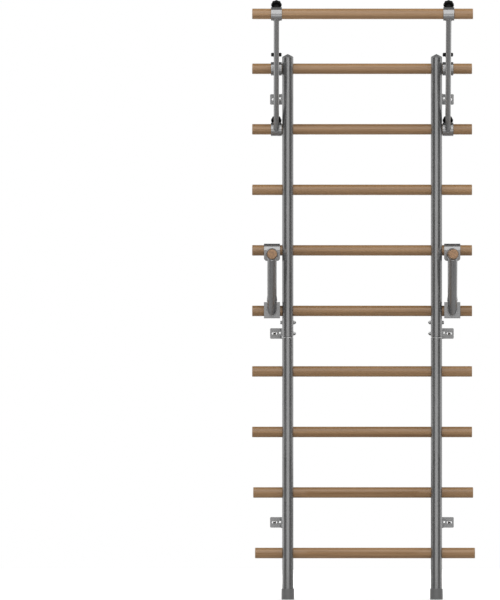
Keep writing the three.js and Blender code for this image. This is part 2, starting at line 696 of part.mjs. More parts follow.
// The upper half of the sleeve is cut away ahead of its closed part, so the grip lies in a trough.
function troughCut() {
  const rim = GRIP_LEVEL - TROUGH_RIM_DROP;
  const top = GRIP_LEVEL + 2 * SLEEVE_RADIUS;
  const bottom = GRIP_LEVEL - 2 * SLEEVE_RADIUS;
  const lean = SLEEVE_SLANT / (SLEEVE_RADIUS + TROUGH_RIM_DROP);
  const endLean = TROUGH_SLANT / (SLEEVE_RADIUS - TROUGH_RIM_DROP);
  const beyond = TROUGH_REACH + 2 * SLEEVE_RADIUS;
  const rimBack = -SLEEVE_REACH - SLEEVE_SLANT;
  const rimFront = TROUGH_SLANT - TROUGH_REACH;
  const shape = outline([
    [rimBack, rim],
    [rimBack + lean * (top - rim), top],
    [-beyond, top],
    [-beyond, bottom],
    [rimFront - endLean * (rim - bottom), bottom],
    [rimFront, rim],
  ]);
  return sideExtrusion(shape, 4 * SLEEVE_RADIUS);
}

function dipFrame() {
  const sleeveLength = TROUGH_REACH - HOOK_BORE - HOOK_THICKNESS / 2;
  const sleeve = rodAlongY(SLEEVE_RADIUS, sleeveLength);
  sleeve.translate(0, sleeveLength / 2 - TROUGH_REACH, GRIP_LEVEL);
  const bore = rodAlongY(SLEEVE_BORE, TROUGH_REACH);
  bore.translate(0, -HOOK_FACE - TROUGH_REACH / 2, GRIP_LEVEL);

  const webFront = SADDLE_BACK_FACE - SADDLE_THICKNESS;
  const braceTop = new THREE.Vector3(0, -BRACE_REACH, GRIP_LEVEL);
  const braceFoot = new THREE.Vector3(0, webFront, SADDLE_LEVEL + BRACE_FOOT_RISE);
  const along = new THREE.Vector3().subVectors(braceFoot, braceTop);
  const braceEnd = braceTop.clone().addScaledVector(along, 1 + DIP_TUBE_DIAMETER / along.length());
  const share = (BRACE_REACH - POST_REACH) / along.y;
  const postTop = new THREE.Vector3(0, -POST_REACH, GRIP_LEVEL);
  const postFoot = braceTop.clone().addScaledVector(along, share);
  const radius = DIP_TUBE_DIAMETER / 2;
  const inside = radius - DIP_TUBE_WALL;
  const web = saddlePlate();
  const behindWeb = saddleInside(2 * PLATE_WIDTH);

  const pastWeb = new THREE.BoxGeometry(PLATE_WIDTH, PLATE_WIDTH, 2 * PLATE_WIDTH);
  pastWeb.translate(0, SADDLE_BACK_FACE - SADDLE_THICKNESS / 2 + PLATE_WIDTH / 2, braceFoot.z);
  const brace = cut(solidOf(rodBetween(radius, braceTop, braceEnd)), [pastWeb]);
  const tubes = brace.add(solidOf(rodBetween(radius, postTop, postFoot)));
  const insides = [
    rodBetween(inside, braceTop, braceEnd, SMALL_FACETS),
    rodBetween(inside, postTop, postFoot, SMALL_FACETS),
  ];
  const tubeHollows = cut(joined(insides), [sleeve, web, behindWeb]);
  const welded = tubes.add(hookStrap()).add(joined([sleeve, web])).subtract(tubeHollows);
  const vent = rodAlongY(VENT_DIAMETER / 2, 4 * SADDLE_THICKNESS, SMALL_FACETS).translate(...braceFoot);
  const screwHole = rodAlongZ(GRIP_SCREW_DIAMETER / 2 + SEAT_GAP, 2 * SLEEVE_RADIUS, SMALL_FACETS);
  screwHole.translate(0, GRIP_SCREW_INSET - TROUGH_REACH, GRIP_LEVEL - SLEEVE_RADIUS);
  return geometryOf(cut(welded, [bore, troughCut(), behindWeb, vent, screwHole]));
}

// The wooden grip, in the same place, with a pilot hole for its screw.
function dipGrip() {
  const back = -HOOK_FACE - SEAT_GAP;
  const length = GRIP_REACH + back;
  const grip = woodenBar(GRIP_DIAMETER, length, GRIP_CHAMFER).rotateZ(Math.PI / 2);
  grip.translate(0, back - length / 2, GRIP_LEVEL);
  const pilot = rodAlongZ(GRIP_SCREW_DIAMETER / 2 + SEAT_GAP, 2 * GRIP_SCREW_LENGTH, SMALL_FACETS);
  pilot.translate(0, GRIP_SCREW_INSET - TROUGH_REACH, GRIP_LEVEL - GRIP_DIAMETER / 2 + SEAT_GAP);
  return geometryOf(cut(solidOf(grip), [pilot]));
}

// Finishes

function finish(colour, roughness, metalness) {
  return new THREE.MeshStandardMaterial({ color: colour, roughness, metalness });
}

const greySteel = () => finish(0x8c8c8c, 0.35, 0.6);
const oak = () => finish(0x9c7a58, 0.55, 0);
const greyPlastic = () => finish(0x6e6e70, 0.6, 0);
const blackPlastic = () => finish(0x1c1c1c, 0.5, 0);
const zinc = () => finish(0xc8c8c4, 0.3, 0.9);

// Assembly

const wallBars = new THREE.Group();

function place(parent, name, geometry, material, position = [0, 0, 0], rotation = [0, 0, 0]) {
  const mesh = new THREE.Mesh(geometry, material);
  mesh.name = name;
  mesh.position.set(...position);
  mesh.rotation.set(...rotation);
  parent.add(mesh);
}

function group(parent, position) {
  const made = new THREE.Group();
  made.position.set(...position);
  parent.add(made);
  return made;
}

function addRungs() {
  const shifts = { [RUNG_COUNT]: LAST_RUNG_SHIFT, [RUNG_COUNT - 1]: SECOND_LAST_RUNG_SHIFT };
  for (let number = 1; number <= RUNG_COUNT; number += 1) {
    const plain = number < RUNG_COUNT;
    const geometry = plain ? woodenBar(RUNG_DIAMETER, RUNG_LENGTH, RUNG_CHAMFER) : lockedRung();
    const position = [shifts[number] ?? 0, -WALL_DISTANCE, rungHeight(number)];
    place(wallBars, `rung_${number}`, geometry, oak(), position);
  }
}

// Bolts and nuts point along X, with their heads away from the upright.
function addFasteners(upright, side, sideName) {
  const outwards = [0, (side * Math.PI) / 2, 0];
  const inwards = [0, (-side * Math.PI) / 2, 0];
  const onBracket = side * (BRACKET_FACE + SEAT_GAP);
  const intoInsert = BRACKET_FACE + SEAT_GAP - UPRIGHT_FACE + UPRIGHT_WALL + INSERT_LENGTH;
  for (const [level, height] of Object.entries({ top: TOP_BRACKET, bottom: BOTTOM_BRACKET })) {
    const name = `${sideName}_${level}_bracket_bolt`;
    place(upright, name, flangeBolt(intoInsert), zinc(), [onBracket, 0, height], outwards);
  }
  const nutSeat = UPRIGHT_FACE + SEAT_GAP;
  const pastNut = nutSeat + BOLT_FLANGE_HEIGHT + BOLT_HEAD_HEIGHT + BOLT_END;
  const joints = {
    high: [HIGH_JOINT_BOLT, nutSeat],
    low: [LOW_JOINT_BOLT, BRACKET_FACE + SEAT_GAP],
  };
  for (const [level, [height, seat]] of Object.entries(joints)) {
    const name = `${sideName}_${level}_joint`;
    const boltSeat = [side * seat, 0, height];
    const backSeat = [-side * nutSeat, 0, height];
    place(upright, `${name}_bolt`, flangeBolt(seat + pastNut), zinc(), boltSeat, outwards);
    place(upright, `${name}_nut`, flangeNut(), zinc(), backSeat, inwards);
  }
  const lockScrew = domeScrew(
    LOCK_SCREW_HEAD,
    LOCK_SCREW_HEAD_HEIGHT,
    LOCK_SCREW_DIAMETER,
    UPRIGHT_DEPTH / 2 - RUNG_RADIUS + LOCK_SCREW_GRIP,
    LOCK_SCREW_POINT,
  );
  const lockSeat = [0, UPRIGHT_DEPTH / 2 + SEAT_GAP, LOWEST_RUNG_HEIGHT];
  place(upright, `${sideName}_rung_lock_screw`, lockScrew, zinc(), lockSeat, [-Math.PI / 2, 0, 0]);
}

function addWallBrackets(upright, side, sideName) {
  const heights = { top: TOP_BRACKET, middle: LOW_JOINT_BOLT, bottom: BOTTOM_BRACKET };
  const screwX = side * (UPRIGHT_FACE + FLANGE_REACH - WALL_SCREW_INSET);
  const screwLength = BRACKET_THICKNESS + SEAT_GAP + WALL_SCREW_REACH;
  for (const [level, height] of Object.entries(heights)) {
    const wall = group(upright, [0, WALL_DISTANCE, height]);
    place(wall, `${sideName}_${level}_wall_bracket`, wallBracket(side), greySteel());
    const screw = domeScrew(
      WALL_SCREW_HEAD,
      WALL_SCREW_HEAD_HEIGHT,
      WALL_SCREW_DIAMETER,
      screwLength,
      WALL_SCREW_POINT,
    );
    const seat = [screwX, -BRACKET_THICKNESS - SEAT_GAP, 0];
    place(wall, `${sideName}_${level}_wall_screw`, screw, zinc(), seat, [Math.PI / 2, 0, 0]);
  }
}

function addUpright(side, sideName) {
  const upright = group(wallBars, [(side * UPRIGHT_SPACING) / 2, -WALL_DISTANCE, 0]);
  place(upright, `${sideName}_upper_upright`, upperUpright(side), greySteel());
  place(upright, `${sideName}_lower_upright`, lowerUpright(side), greySteel());
  place(upright, `${sideName}_joint_spigot`, jointSpigot(), greySteel());
  place(upright, `${sideName}_top_cap`, topCap(), greyPlastic(), [0, 0, UPRIGHT_TOP + SEAT_GAP]);
  place(upright, `${sideName}_foot`, foot(), greyPlastic());
  addFasteners(upright, side, sideName);
  addWallBrackets(upright, side, sideName);
}

function addPullUpBracket(side, sideName) {
  const x = side * (UPRIGHT_SPACING / 2 + UPRIGHT_FACE + COLLAR_UPRIGHT_GAP + COLLAR_WIDTH / 2);
  const bracket = group(wallBars, [x, -WALL_DISTANCE, rungHeight(2)]);
  place(bracket, `${sideName}_pull_up_bracket`, pullUpBracket(), greySteel());
  const acrossArm = [ARM_LEAN - Math.PI / 2, 0, 0];
  place(bracket, `${sideName}_lower_knob`, clampKnob(RUNG_RADIUS), blackPlastic(), [0, 0, 0], acrossArm);
  place(bracket, `${sideName}_upper_knob`, clampKnob(RUNG_RADIUS), blackPlastic(), [0, 0, RUNG_PITCH]);
  const atBar = [0, -BAR_REACH, ARM_RISE];
  place(bracket, `${sideName}_bar_knob`, clampKnob(BAR_RADIUS), blackPlastic(), atBar, acrossArm);
}

function addDipArm(side, sideName) {
  const x = side * (UPRIGHT_SPACING / 2 + UPRIGHT_FACE + DIP_UPRIGHT_GAP + PLATE_WIDTH / 2);
  const arm = group(wallBars, [x, -WALL_DISTANCE, rungHeight(HOOK_RUNG)]);
  place(arm, `${sideName}_dip_frame`, dipFrame(), greySteel());
  place(arm, `${sideName}_dip_grip`, dipGrip(), oak());
  const screw = domeScrew(
    GRIP_SCREW_HEAD,
    GRIP_SCREW_HEAD_HEIGHT,
    GRIP_SCREW_DIAMETER,
    SLEEVE_RADIUS - GRIP_DIAMETER / 2 + GRIP_SCREW_LENGTH,
    GRIP_SCREW_POINT,
  );
  const seat = [0, GRIP_SCREW_INSET - TROUGH_REACH, GRIP_LEVEL - SLEEVE_RADIUS - SEAT_GAP];
  place(arm, `${sideName}_grip_screw`, screw, zinc(), seat, [Math.PI, 0, 0]);
}

addRungs();
for (const [side, sideName] of [
  [-1, "left"],
  [1, "right"],
]) {
  addUpright(side, sideName);
  addPullUpBracket(side, sideName);
  addDipArm(side, sideName);
}
const pullUpBar = woodenBar(BAR_DIAMETER, BAR_LENGTH, BAR_CHAMFER);
const barPlace = [0, -WALL_DISTANCE - BAR_REACH, rungHeight(2) + ARM_RISE];
place(wallBars, "pull_up_bar", pullUpBar, oak(), barPlace);

export default wallBars;
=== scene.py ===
import json
import math
import random

import bmesh
import bpy
from mathutils import Matrix, Vector


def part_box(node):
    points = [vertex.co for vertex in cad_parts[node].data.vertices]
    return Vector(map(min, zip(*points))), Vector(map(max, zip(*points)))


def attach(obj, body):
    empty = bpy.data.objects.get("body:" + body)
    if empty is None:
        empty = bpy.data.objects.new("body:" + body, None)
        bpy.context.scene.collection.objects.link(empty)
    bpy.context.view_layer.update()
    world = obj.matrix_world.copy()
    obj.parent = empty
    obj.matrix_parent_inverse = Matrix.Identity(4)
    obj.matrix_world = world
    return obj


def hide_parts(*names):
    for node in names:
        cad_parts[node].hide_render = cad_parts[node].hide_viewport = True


# Swedish wall bars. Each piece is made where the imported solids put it, in metres: the wall is y = 0,
# the floor is z = 0, and the user stands on the -Y side.
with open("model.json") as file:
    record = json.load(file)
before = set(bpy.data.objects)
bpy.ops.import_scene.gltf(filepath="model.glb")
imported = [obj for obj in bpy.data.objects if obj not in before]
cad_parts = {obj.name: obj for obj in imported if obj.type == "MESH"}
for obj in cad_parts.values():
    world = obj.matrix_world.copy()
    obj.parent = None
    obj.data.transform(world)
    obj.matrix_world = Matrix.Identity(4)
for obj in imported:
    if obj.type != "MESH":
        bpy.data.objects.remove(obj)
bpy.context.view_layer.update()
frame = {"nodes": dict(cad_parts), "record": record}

MM = 0.001
SIDES = {"left": -1, "right": 1}
RUNGS = [f"rung_{number}" for number in range(1, 10)]
BODIES = frame["record"]["behaviour"]["bodies"]
BODY_OF = {node: body for body, nodes in BODIES.items() for node in nodes}
X_AXIS = Vector((1, 0, 0))
Y_AXIS = Vector((0, 1, 0))
Z_AXIS = Vector((0, 0, 1))

# Fineness of the meshes
ROUND_STEPS = 64
HALF_STEPS = 24
CORNER_STEPS = 6
EDGE_STEPS = 4
BOLT_STEPS = 48
LOBE_STEPS = 96
BEAD_STEPS = 120
BEAD_SIDES = 10
DOME_STEPS = 9
DOME_FOOT_ANGLE = 5
DOME_STEP_ANGLE = 9
JOIN_DISTANCE = 0.001 * MM
BEVEL_ANGLE = math.radians(40)
SHARP_ANGLE = math.radians(35)

# How much of a direction lies along an axis if it runs mainly, or squarely, that way
MAINLY = 0.5
SQUARELY = 0.99

# How much of the radius of an eased edge is cut away half way round it
EDGE_MIDDLE = 0.3

# Seats and walls
SEAT_GAP = 0.3 * MM
TUBE_WALL = 2 * MM
TUBE_EDGE = 0.6 * MM
JOINT_EDGE = 1.9 * MM
# Share of the rounding at a tube's top that is bright zinc, a painted highlight
HIGHLIGHT_SHARE = 0.9
ARM_WALL = 2 * MM

# Wooden bars: their ends, and how pale the wood is against the mean
BAR_CHAMFER = 1.5 * MM
CHAMFER_START = 0.6 * MM
CHAMFER_NICK = 0.12 * MM
CHAMFER_SLOPE = 0.42 * MM
RUNG_PALENESS = 0.1
BAR_PALENESS = 0.08
GRIP_PALENESS = 0.1

# The log that a bar is sawn from: how far along, aside of and below its axis the pith may lie
GRAIN_SEED = 8
LOG_LENGTH = 4
PITH_ASIDE = 0.05
PITH_NEAR = 0.03
PITH_FAR = 0.09
RING_WIDTH = 5.5 * MM

# Caps and feet
CAP_RIM = 2 * MM
CAP_RISE = 11 * MM
CAP_RIDGE = 4 * MM
CAP_EDGE = 1.1 * MM
CAP_EDGE_STEPS = 3
FOOT_WALL = 2.5 * MM
FOOT_FLOOR = 6 * MM
FOOT_EDGE = 1.2 * MM

# Bolts, nuts and screws
BOLT_RADIUS = 4 * MM
BOLT_FLAT = 6.5 * MM
BOLT_FLANGE = 8.5 * MM
BOLT_FLANGE_HEIGHT = 1.8 * MM
BOLT_HEAD = 7.2 * MM
BOLT_PITCH = 1.25 * MM
BOLT_END = 0.8 * MM
BOLT_THREAD = 14 * MM
BOLT_THREAD_DEPTH = 0.55 * MM
THREAD_RUNOUT = 1 * MM
THREAD_CREST = 0.25
THREAD_ROOT = 0.75
FLANGE_RIM = 0.5 * MM
FLANGE_LOW_EDGE = 0.2 * MM
FLANGE_HIGH_EDGE = 0.3 * MM
HEX_HALF = math.pi / 6
HEX_CHAMFER = 0.9 * MM
HEX_CORNER_LOSS = 1.6
HEX_RIM = 1.4 * MM
HEX_DISH = 2 * MM
HEX_DISH_DEPTH = 0.35 * MM
FLATS_BELOW = 0.75
NUT_EDGE = 0.6 * MM
SCREW_PITCH = 2.4 * MM
SCREW_NECK = 1 * MM
SCREW_HEAD_EDGE = 0.3 * MM

# Radius of the shank and height of the head of each kind of screw
WALL_SCREW = (3 * MM, 5 * MM)
LOCK_SCREW = (2 * MM, 2.5 * MM)
GRIP_SCREW = (2.25 * MM, 4 * MM)

# Shares of the shank's radius, the point's length and the head's radius and height, in a screw
SCREW_TIP = 0.15
SCREW_TAPER = 0.7
SCREW_TAPER_HEIGHT = 0.6
SCREW_ROOT = 0.24
DRIVE = 0.36
DRIVE_LOBES = 6
DRIVE_WAVE = 0.12
DRIVE_RIM = 1.18
DRIVE_RIM_HEIGHT = 0.985
DRIVE_TOP = 0.93
DRIVE_FLOOR = 0.45
# Where a drive is painted dark as shade: above a share of the head's height and within a share of the
# drive's radius
DARK_ABOVE = 0.4
DARK_WITHIN = 1.05

# Wall brackets
BRACKET_THICKNESS = 4 * MM
BRACKET_CORNER = 4 * MM
BRACKET_BEND = 3 * MM
BRACKET_EDGE = 0.5 * MM
SLOT_LENGTH = 20 * MM
SLOT_WIDTH = 8 * MM

# Pull-up brackets
SLIDE_CLEARANCE = 0.5 * MM
COLLAR_WALL = 5 * MM
COLLAR_WIDTH = 41 * MM
COLLAR_EDGE = 0.9 * MM
ARM_DEPTH = 50 * MM
ARM_THICKNESS = 20 * MM
STRUT_DEPTH = 46 * MM
STRUT_THICKNESS = 14 * MM
STRUT_CORNER = 2.5 * MM
ARM_HOLE = 5.5 * MM
UPPER_ARM_HOLE = 198 * MM
LOWER_ARM_HOLE = 325 * MM
SMALL_KEYHOLE = 106 * MM
LARGE_KEYHOLE = 261 * MM
KEYHOLE_CORNER = 0.4

# Radius of a keyhole, and width and reach of its slot
SMALL_KEYHOLE_SIZE = (4.5 * MM, 4.5 * MM, 15 * MM)
LARGE_KEYHOLE_SIZE = (7 * MM, 6.5 * MM, 12 * MM)

# Star knobs
KNOB_RADIUS = 20 * MM
KNOB_LOBES = 8
KNOB_LOBE_DEPTH = 1.8 * MM
KNOB_HEAD = 14.5 * MM
KNOB_EDGE = 3.1 * MM
KNOB_HUB = 17 * MM
KNOB_HUB_TOP = 10 * MM
KNOB_HUB_FOOT = 5.5 * MM
KNOB_NECK = 3 * MM
KNOB_STANDOFF = 4 * MM
KNOB_FOOT_EDGE = 0.6 * MM
KNOB_FLARE = 0.35
KNOB_FLARE_HEIGHT = 0.6
KNOB_DISC = 8.5 * MM
DISC_RIM = 1 * MM
DISC_GROOVE = 0.4 * MM
DISC_GROOVE_DEPTH = 0.8 * MM
DISC_EDGE = 0.5 * MM
DISC_DROP = 0.2 * MM
STUD_LEAD = 1 * MM
STUD_THREAD_DEPTH = 0.5 * MM
STUD_ROOT = 0.3
STUD_CREST = 0.8

# Dip arms
PLATE_WIDTH = 61 * MM
PLATE_EDGE = 0.5 * MM
PLATE_MARGIN = 1 * MM
HOOK_THICKNESS = 5 * MM
HOOK_LEG = 40 * MM
HOOK_CORNER = 11 * MM
SADDLE_THICKNESS = 4 * MM
SADDLE_ABOVE = 9.5 * MM
SADDLE_BELOW = 4 * MM
SADDLE_LEG = 18 * MM
SADDLE_BEND = 3 * MM
SLEEVE_WALL = 2 * MM
SLEEVE_EDGE = 0.7 * MM
SLEEVE_REACH = 81 * MM
SLEEVE_SLANT = 16 * MM
TROUGH_REACH = 265 * MM
TROUGH_SLANT = 11 * MM
TROUGH_RIM_DROP = 2 * MM
DIP_TUBE_RADIUS = 17.5 * MM
POST_REACH = 55 * MM
BRACE_REACH = 232 * MM
BRACE_FOOT_RISE = 6 * MM

# Welds
BEAD_RADIUS = 2.2 * MM
BEAD_RIPPLE = 0.12


def middle(node):
    low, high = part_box(node)
    return (low + high) / 2


def bar_radius(node):
    low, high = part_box(node)
    return (high.z - low.z) / 2


# Outlines and solids


def arc(centre_x, centre_y, radius, start, stop, steps=HALF_STEPS):
    """Points of part of a circle, between two angles in degrees."""
    points = []
    for step in range(steps + 1):
        turn = math.radians(start + (stop - start) * step / steps)
        points.append((centre_x + radius * math.cos(turn), centre_y + radius * math.sin(turn)))
    return points


def level(points, height):
    return [Vector((across, up, height)) for across, up in points]


def circle(radius, height, steps=ROUND_STEPS):
    return level(arc(0, 0, radius, 0, 360, steps)[:-1], height)


def waved_ring(reach, height, steps):
    """A ring of points whose distance from the axis changes with the angle."""
    ring = []
    for step in range(steps):
        angle = math.tau * step / steps
        radius = reach(angle)
        ring.append(Vector((radius * math.cos(angle), radius * math.sin(angle), height)))
    return ring


def flat_oval(width, depth):
    radius = width / 2
    straight = depth / 2 - radius
    return arc(0, straight, radius, 0, 180) + arc(0, -straight, radius, 180, 360)


def oval_ring(low, high, inset, height):
    """A ring of a box's flat oval less an inset, at a height, with the box's middle as its origin."""
    outline = flat_oval(high.x - low.x - 2 * inset, high.y - low.y - 2 * inset)
    return level(outline, height - ((low + high) / 2).z)


def rounding(radius):
    """How far in and up each ring of a rounded edge lies, from the flat round to the side."""
    steps = []
    for step in range(EDGE_STEPS + 1):
        turn = math.radians(90 * step / EDGE_STEPS)
        steps.append((radius * (1 - math.sin(turn)), radius * (1 - math.cos(turn))))
    return steps


def eased(low, high, edge):
    """Insets and heights up a side, from one eased edge to the other."""
    cut = EDGE_MIDDLE * edge
    foot = [(edge, low), (cut, low + cut), (0, low + edge)]
    return foot + [(0, high - edge), (cut, high - cut), (edge, high)]


def rounded_box(width, height, radius):
    across = width / 2 - radius
    up = height / 2 - radius
    points = []
    for side, rise, start in ((across, -up, 270), (across, up, 0), (-across, up, 90), (-across, -up, 180)):
        points += arc(side, rise, radius, start, start + 90, CORNER_STEPS)
    return points


def frame_along(axis, origin, across=X_AXIS):
    """A frame whose Z runs along axis, with X as near to the across direction as can be."""
    forward = Vector(axis).normalized()
    up = forward.cross(across).normalized()
    columns = Matrix((up.cross(forward), up, forward)).transposed()
    return Matrix.Translation(origin) @ columns.to_4x4()


def front_frame(origin):
    """A frame whose X and Y are the object's X and Z."""
    return frame_along(-Y_AXIS, origin)


def side_frame(origin):
    """A frame whose X and Y are the object's Y and Z."""
    return frame_along(X_AXIS, origin, Y_AXIS)


def linked(data):
    made = bpy.data.objects.new(data.name, data)
    bpy.context.scene.collection.objects.link(made)
    return made


def solid(rings, place=Matrix(), wrap=False):
    """A closed shell through rings of points. With wrap, the last ring joins the first."""
    count = len(rings[0])
    points = [place @ point for ring in rings for point in ring]
    faces = []
    for span in range(len(rings) if wrap else len(rings) - 1):
        first = span * count
        second = (span + 1) % len(rings) * count
        for step in range(count):
            after = (step + 1) % count
            faces.append((first + step, first + after, second + after, second + step))
    if not wrap:
        last = (len(rings) - 1) * count
        faces.append(tuple(reversed(range(count))))
        faces.append(tuple(range(last, last + count)))
    mesh = bpy.data.meshes.new("shell")
    mesh.from_pydata(points, [], faces)
    shell = bmesh.new()
    shell.from_mesh(mesh)
    bmesh.ops.remove_doubles(shell, verts=shell.verts, dist=JOIN_DISTANCE)
    bmesh.ops.recalc_face_normals(shell, faces=shell.faces)
    shell.to_mesh(mesh)
    shell.free()
    return linked(mesh)


def turned(profile, place):
    return solid([circle(radius, height) for radius, height in profile], place)


def rod(radius, start, stop):
    along = stop - start
    across = Y_AXIS if abs(along.normalized().x) > MAINLY else X_AXIS
    return turned([(radius, 0), (radius, along.length)], frame_along(along, start, across))


def prism(outline, depth, place):
    return solid([level(outline, -depth / 2), level(outline, depth / 2)], place)


def settle(made):
    """Works the modifiers of a piece into its mesh."""
    shaped = made.evaluated_get(bpy.context.evaluated_depsgraph_get())
    mesh = bpy.data.meshes.new_from_object(shaped)
    made.modifiers.clear()
    made.data = mesh
    return made


def carve(made, tools, operation="DIFFERENCE"):
    for tool in tools:
        change = made.modifiers.new("carve", "BOOLEAN")
        change.operation = operation
        change.solver = "EXACT"
        change.object = tool
    settle(made)
    for tool in tools:
        bpy.data.objects.remove(tool)
    return made


def weld(made, others):
    return carve(made, others, "UNION")


def soften(made, width, steps=2):
    """Rounds the sharp edges of a piece."""
    edge = made.modifiers.new("edge", "BEVEL")
    edge.width = width
    edge.segments = steps
    edge.limit_method = "ANGLE"
    edge.angle_limit = BEVEL_ANGLE
    edge.use_clamp_overlap = False
    return settle(made)


def gather(shells):
    """One object of several closed shells."""
    whole = bmesh.new()
    for shell in shells:
        whole.from_mesh(shell.data)
        bpy.data.objects.remove(shell)
    mesh = bpy.data.meshes.new("gathered")
    whole.to_mesh(mesh)
    whole.free()
    return linked(mesh)


def bead(path):
    """A rippled weld bead along a closed path."""
    centre = sum(path, Vector()) / len(path)
    rings = []
    for step, point in enumerate(path):
        along = (path[(step + 1) % len(path)] - path[step - 1]).normalized()
        out = point - centre
        out = (out - along * out.dot(along)).normalized()
        side = along.cross(out)
        swell = BEAD_RADIUS * (1 + BEAD_RIPPLE * math.sin(step * math.pi / 2))
        ring = []
        for turn in range(BEAD_SIDES):
            angle = math.tau * turn / BEAD_SIDES
            ring.append(point + swell * (math.cos(angle) * out + math.sin(angle) * side))
        rings.append(ring)
    return solid(rings, wrap=True)


def second_finish(made, chosen):
    """Gives the second of a piece's finishes to the faces that a test chooses."""
    for face in made.data.polygons:
        if chosen(face):
            face.material_index = 1


def show(made, node, finishes):
    """Names a finished mesh, gives it its finishes and puts it in the place of its CAD node."""
    made.name = "shown_" + node
    made.data.name = made.name
    for finish in finishes:
        made.data.materials.append(finish)
    made.data.shade_smooth()
    made.data.set_sharp_from_angle(angle=SHARP_ANGLE)
    made.modifiers.new("normals", "WEIGHTED_NORMAL").keep_sharp = True
    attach(made, BODY_OF[node])
    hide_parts(node)


# Finishes


class Tone:
    """One output of a material's nodes. Sums on tones add Math nodes."""

    def __init__(self, tree, socket=None):
        self.tree = tree
        self.socket = socket

    def node(self, kind, settings=None, sockets=None, output=0):
        made = self.tree.nodes.new("ShaderNode" + kind)
        for name, value in (settings or {}).items():
            setattr(made, name, value)
        for name, value in (sockets or {}).items():
            join(self.tree, made.inputs[name], value)
        return Tone(self.tree, made.outputs[output])

    def math(self, operation, first, second=0.0):
        return self.node("Math", {"operation": operation}, {0: first, 1: second})

    def __add__(self, other):
        return self.math("ADD", self, other)

    def __radd__(self, other):
        return self.math("ADD", other, self)

    def __sub__(self, other):
        return self.math("SUBTRACT", self, other)

    def __rsub__(self, other):
        return self.math("SUBTRACT", other, self)

    def __mul__(self, other):
        return self.math("MULTIPLY", self, other)

    def __rmul__(self, other):
        return self.math("MULTIPLY", other, self)

    def __truediv__(self, other):
        return self.math("DIVIDE", self, other)

    def __rtruediv__(self, other):
        return self.math("DIVIDE", other, self)


def join(tree, socket, value):
    if isinstance(value, Tone):
        tree.links.new(value.socket, socket)
    else:
        socket.default_value = value


def grey(value):
    return (value, value, value, 1.0)


def stretched(place, scale):
    return place.node("VectorMath", {"operation": "MULTIPLY"}, {0: place, 1: scale})


def length_of(place):
    return place.node("VectorMath", {"operation": "LENGTH"}, {0: place}, "Value")


def noise(place, scale, detail=2.0, roughness=0.5):
    sockets = {"Vector": stretched(place, scale), "Scale": 1.0, "Detail": detail, "Roughness": roughness}
    return place.node("TexNoise", None, sockets)


def ramp(value, low, high, start=0.0, stop=1.0):
    """A value spread from start to stop between two of its levels, and held beyond them."""
    sockets = {"Value": value, "From Min": low, "From Max": high, "To Min": start, "To Max": stop}
    return value.node("MapRange", {"clamp": True}, sockets)


def blended(factor, first, second):
    """A mix of two colours."""
    return factor.node("Mix", {"data_type": "RGBA"}, {0: factor, 6: first, 7: second}, 2)


def bumped(height, strength, distance):
    sockets = {"Strength": strength, "Distance": distance, "Height": height}
    return height.node("Bump", None, sockets, "Normal")


def new_finish(name):
    made = bpy.data.materials.new(name)
    made.use_nodes = True
    return made, Tone(made.node_tree)


def new_coat(name):
    """A material, and the place of each point of the piece that wears it."""
    made, tone = new_finish(name)
    return made, tone.node("TexCoord", output="Object")


def marked(tone, name, output="Fac"):
    """What mark_grain wrote on each point of a bar under a name."""
    return tone.node("Attribute", {"attribute_name": name}, output=output)


def dress(made, sockets):
    shader = made.node_tree.nodes["Principled BSDF"]
    for name, value in sockets.items():
        join(made.node_tree, shader.inputs[name], value)
    return made


def silver_paint():
    """Silver-grey metallic paint on steel, with fine flake, orange peel and faint rubbed patches."""
    made, place = new_coat("silver_paint")
    peel = noise(place, (650, 650, 650), 2)
    flake = ramp(noise(place, (2600, 2600, 2600), 0), 0.62, 0.72)
    cloud = noise(place, (7, 7, 4), 3)
    rubbed = ramp(noise(place, (60, 60, 9), 4, 0.65), 0.6, 0.8)
    base = blended(cloud, grey(0.24), grey(0.28))
    base = blended(flake * 0.12, base, grey(0.45))
    return dress(made, {
        "Base Color": blended(rubbed * 0.2, base, grey(0.31)),
        "Metallic": 0.75,
        "Roughness": 0.17 + 0.05 * cloud + 0.08 * rubbed,
        "Normal": bumped(peel, 0.03, 0.05 * MM),
    })


def bright_zinc():
    """Bright zinc plate, with faint mottling and a fine grain."""
    made, place = new_coat("bright_zinc")
    mottle = noise(place, (160, 160, 160), 4)
    fine = noise(place, (1800, 1800, 1800), 1)
    return dress(made, {
        "Base Color": blended(mottle, (0.46, 0.47, 0.47, 1), (0.62, 0.62, 0.61, 1)),
        "Metallic": 1.0,
        "Roughness": 0.16 + 0.2 * mottle,
        "Normal": bumped(fine, 0.06, 0.05 * MM),
    })


def dull_zinc():
    """A darker, duller copy of the zinc plate, on flats and threads."""
    made, place = new_coat("dull_zinc")
    bloom = noise(place, (220, 220, 220), 4, 0.6)
    fine = noise(place, (1800, 1800, 1800), 1)
    return dress(made, {
        "Base Color": blended(bloom, (0.25, 0.252, 0.255, 1), (0.40, 0.40, 0.395, 1)),
        "Metallic": 0.9,
        "Roughness": 0.24 + 0.2 * bloom,
        "Normal": bumped(fine, 0.08, 0.05 * MM),
    })


def shade_steel():
    """Dark mottled steel as painted shade: on the spigots in the joint gaps, in the drives of screws and on
    the sawn front ends of the sleeves.
    """
    made, place = new_coat("shade_steel")
    scale = noise(place, (90, 90, 20), 4, 0.6)
    fine = noise(place, (1200, 1200, 300), 2)
    return dress(made, {
        "Base Color": blended(scale, (0.035, 0.036, 0.040, 1), (0.085, 0.084, 0.085, 1)),
        "Metallic": 0.5,
        "Roughness": 0.45 + 0.2 * scale,
        "Normal": bumped(fine, 0.1, 0.08 * MM),
    })


def grey_moulding():
    """Moulded grey plastic with a fine spark-eroded grain."""
    made, place = new_coat("grey_moulding")
    grain = noise(place, (1500, 1500, 1500), 2)
    cloud = noise(place, (25, 25, 25), 3)
    return dress(made, {
        "Base Color": blended(cloud, grey(0.112), grey(0.138)),
        "Roughness": 0.25 + 0.12 * grain,
        "Normal": bumped(grain, 0.12, 0.08 * MM),
    })


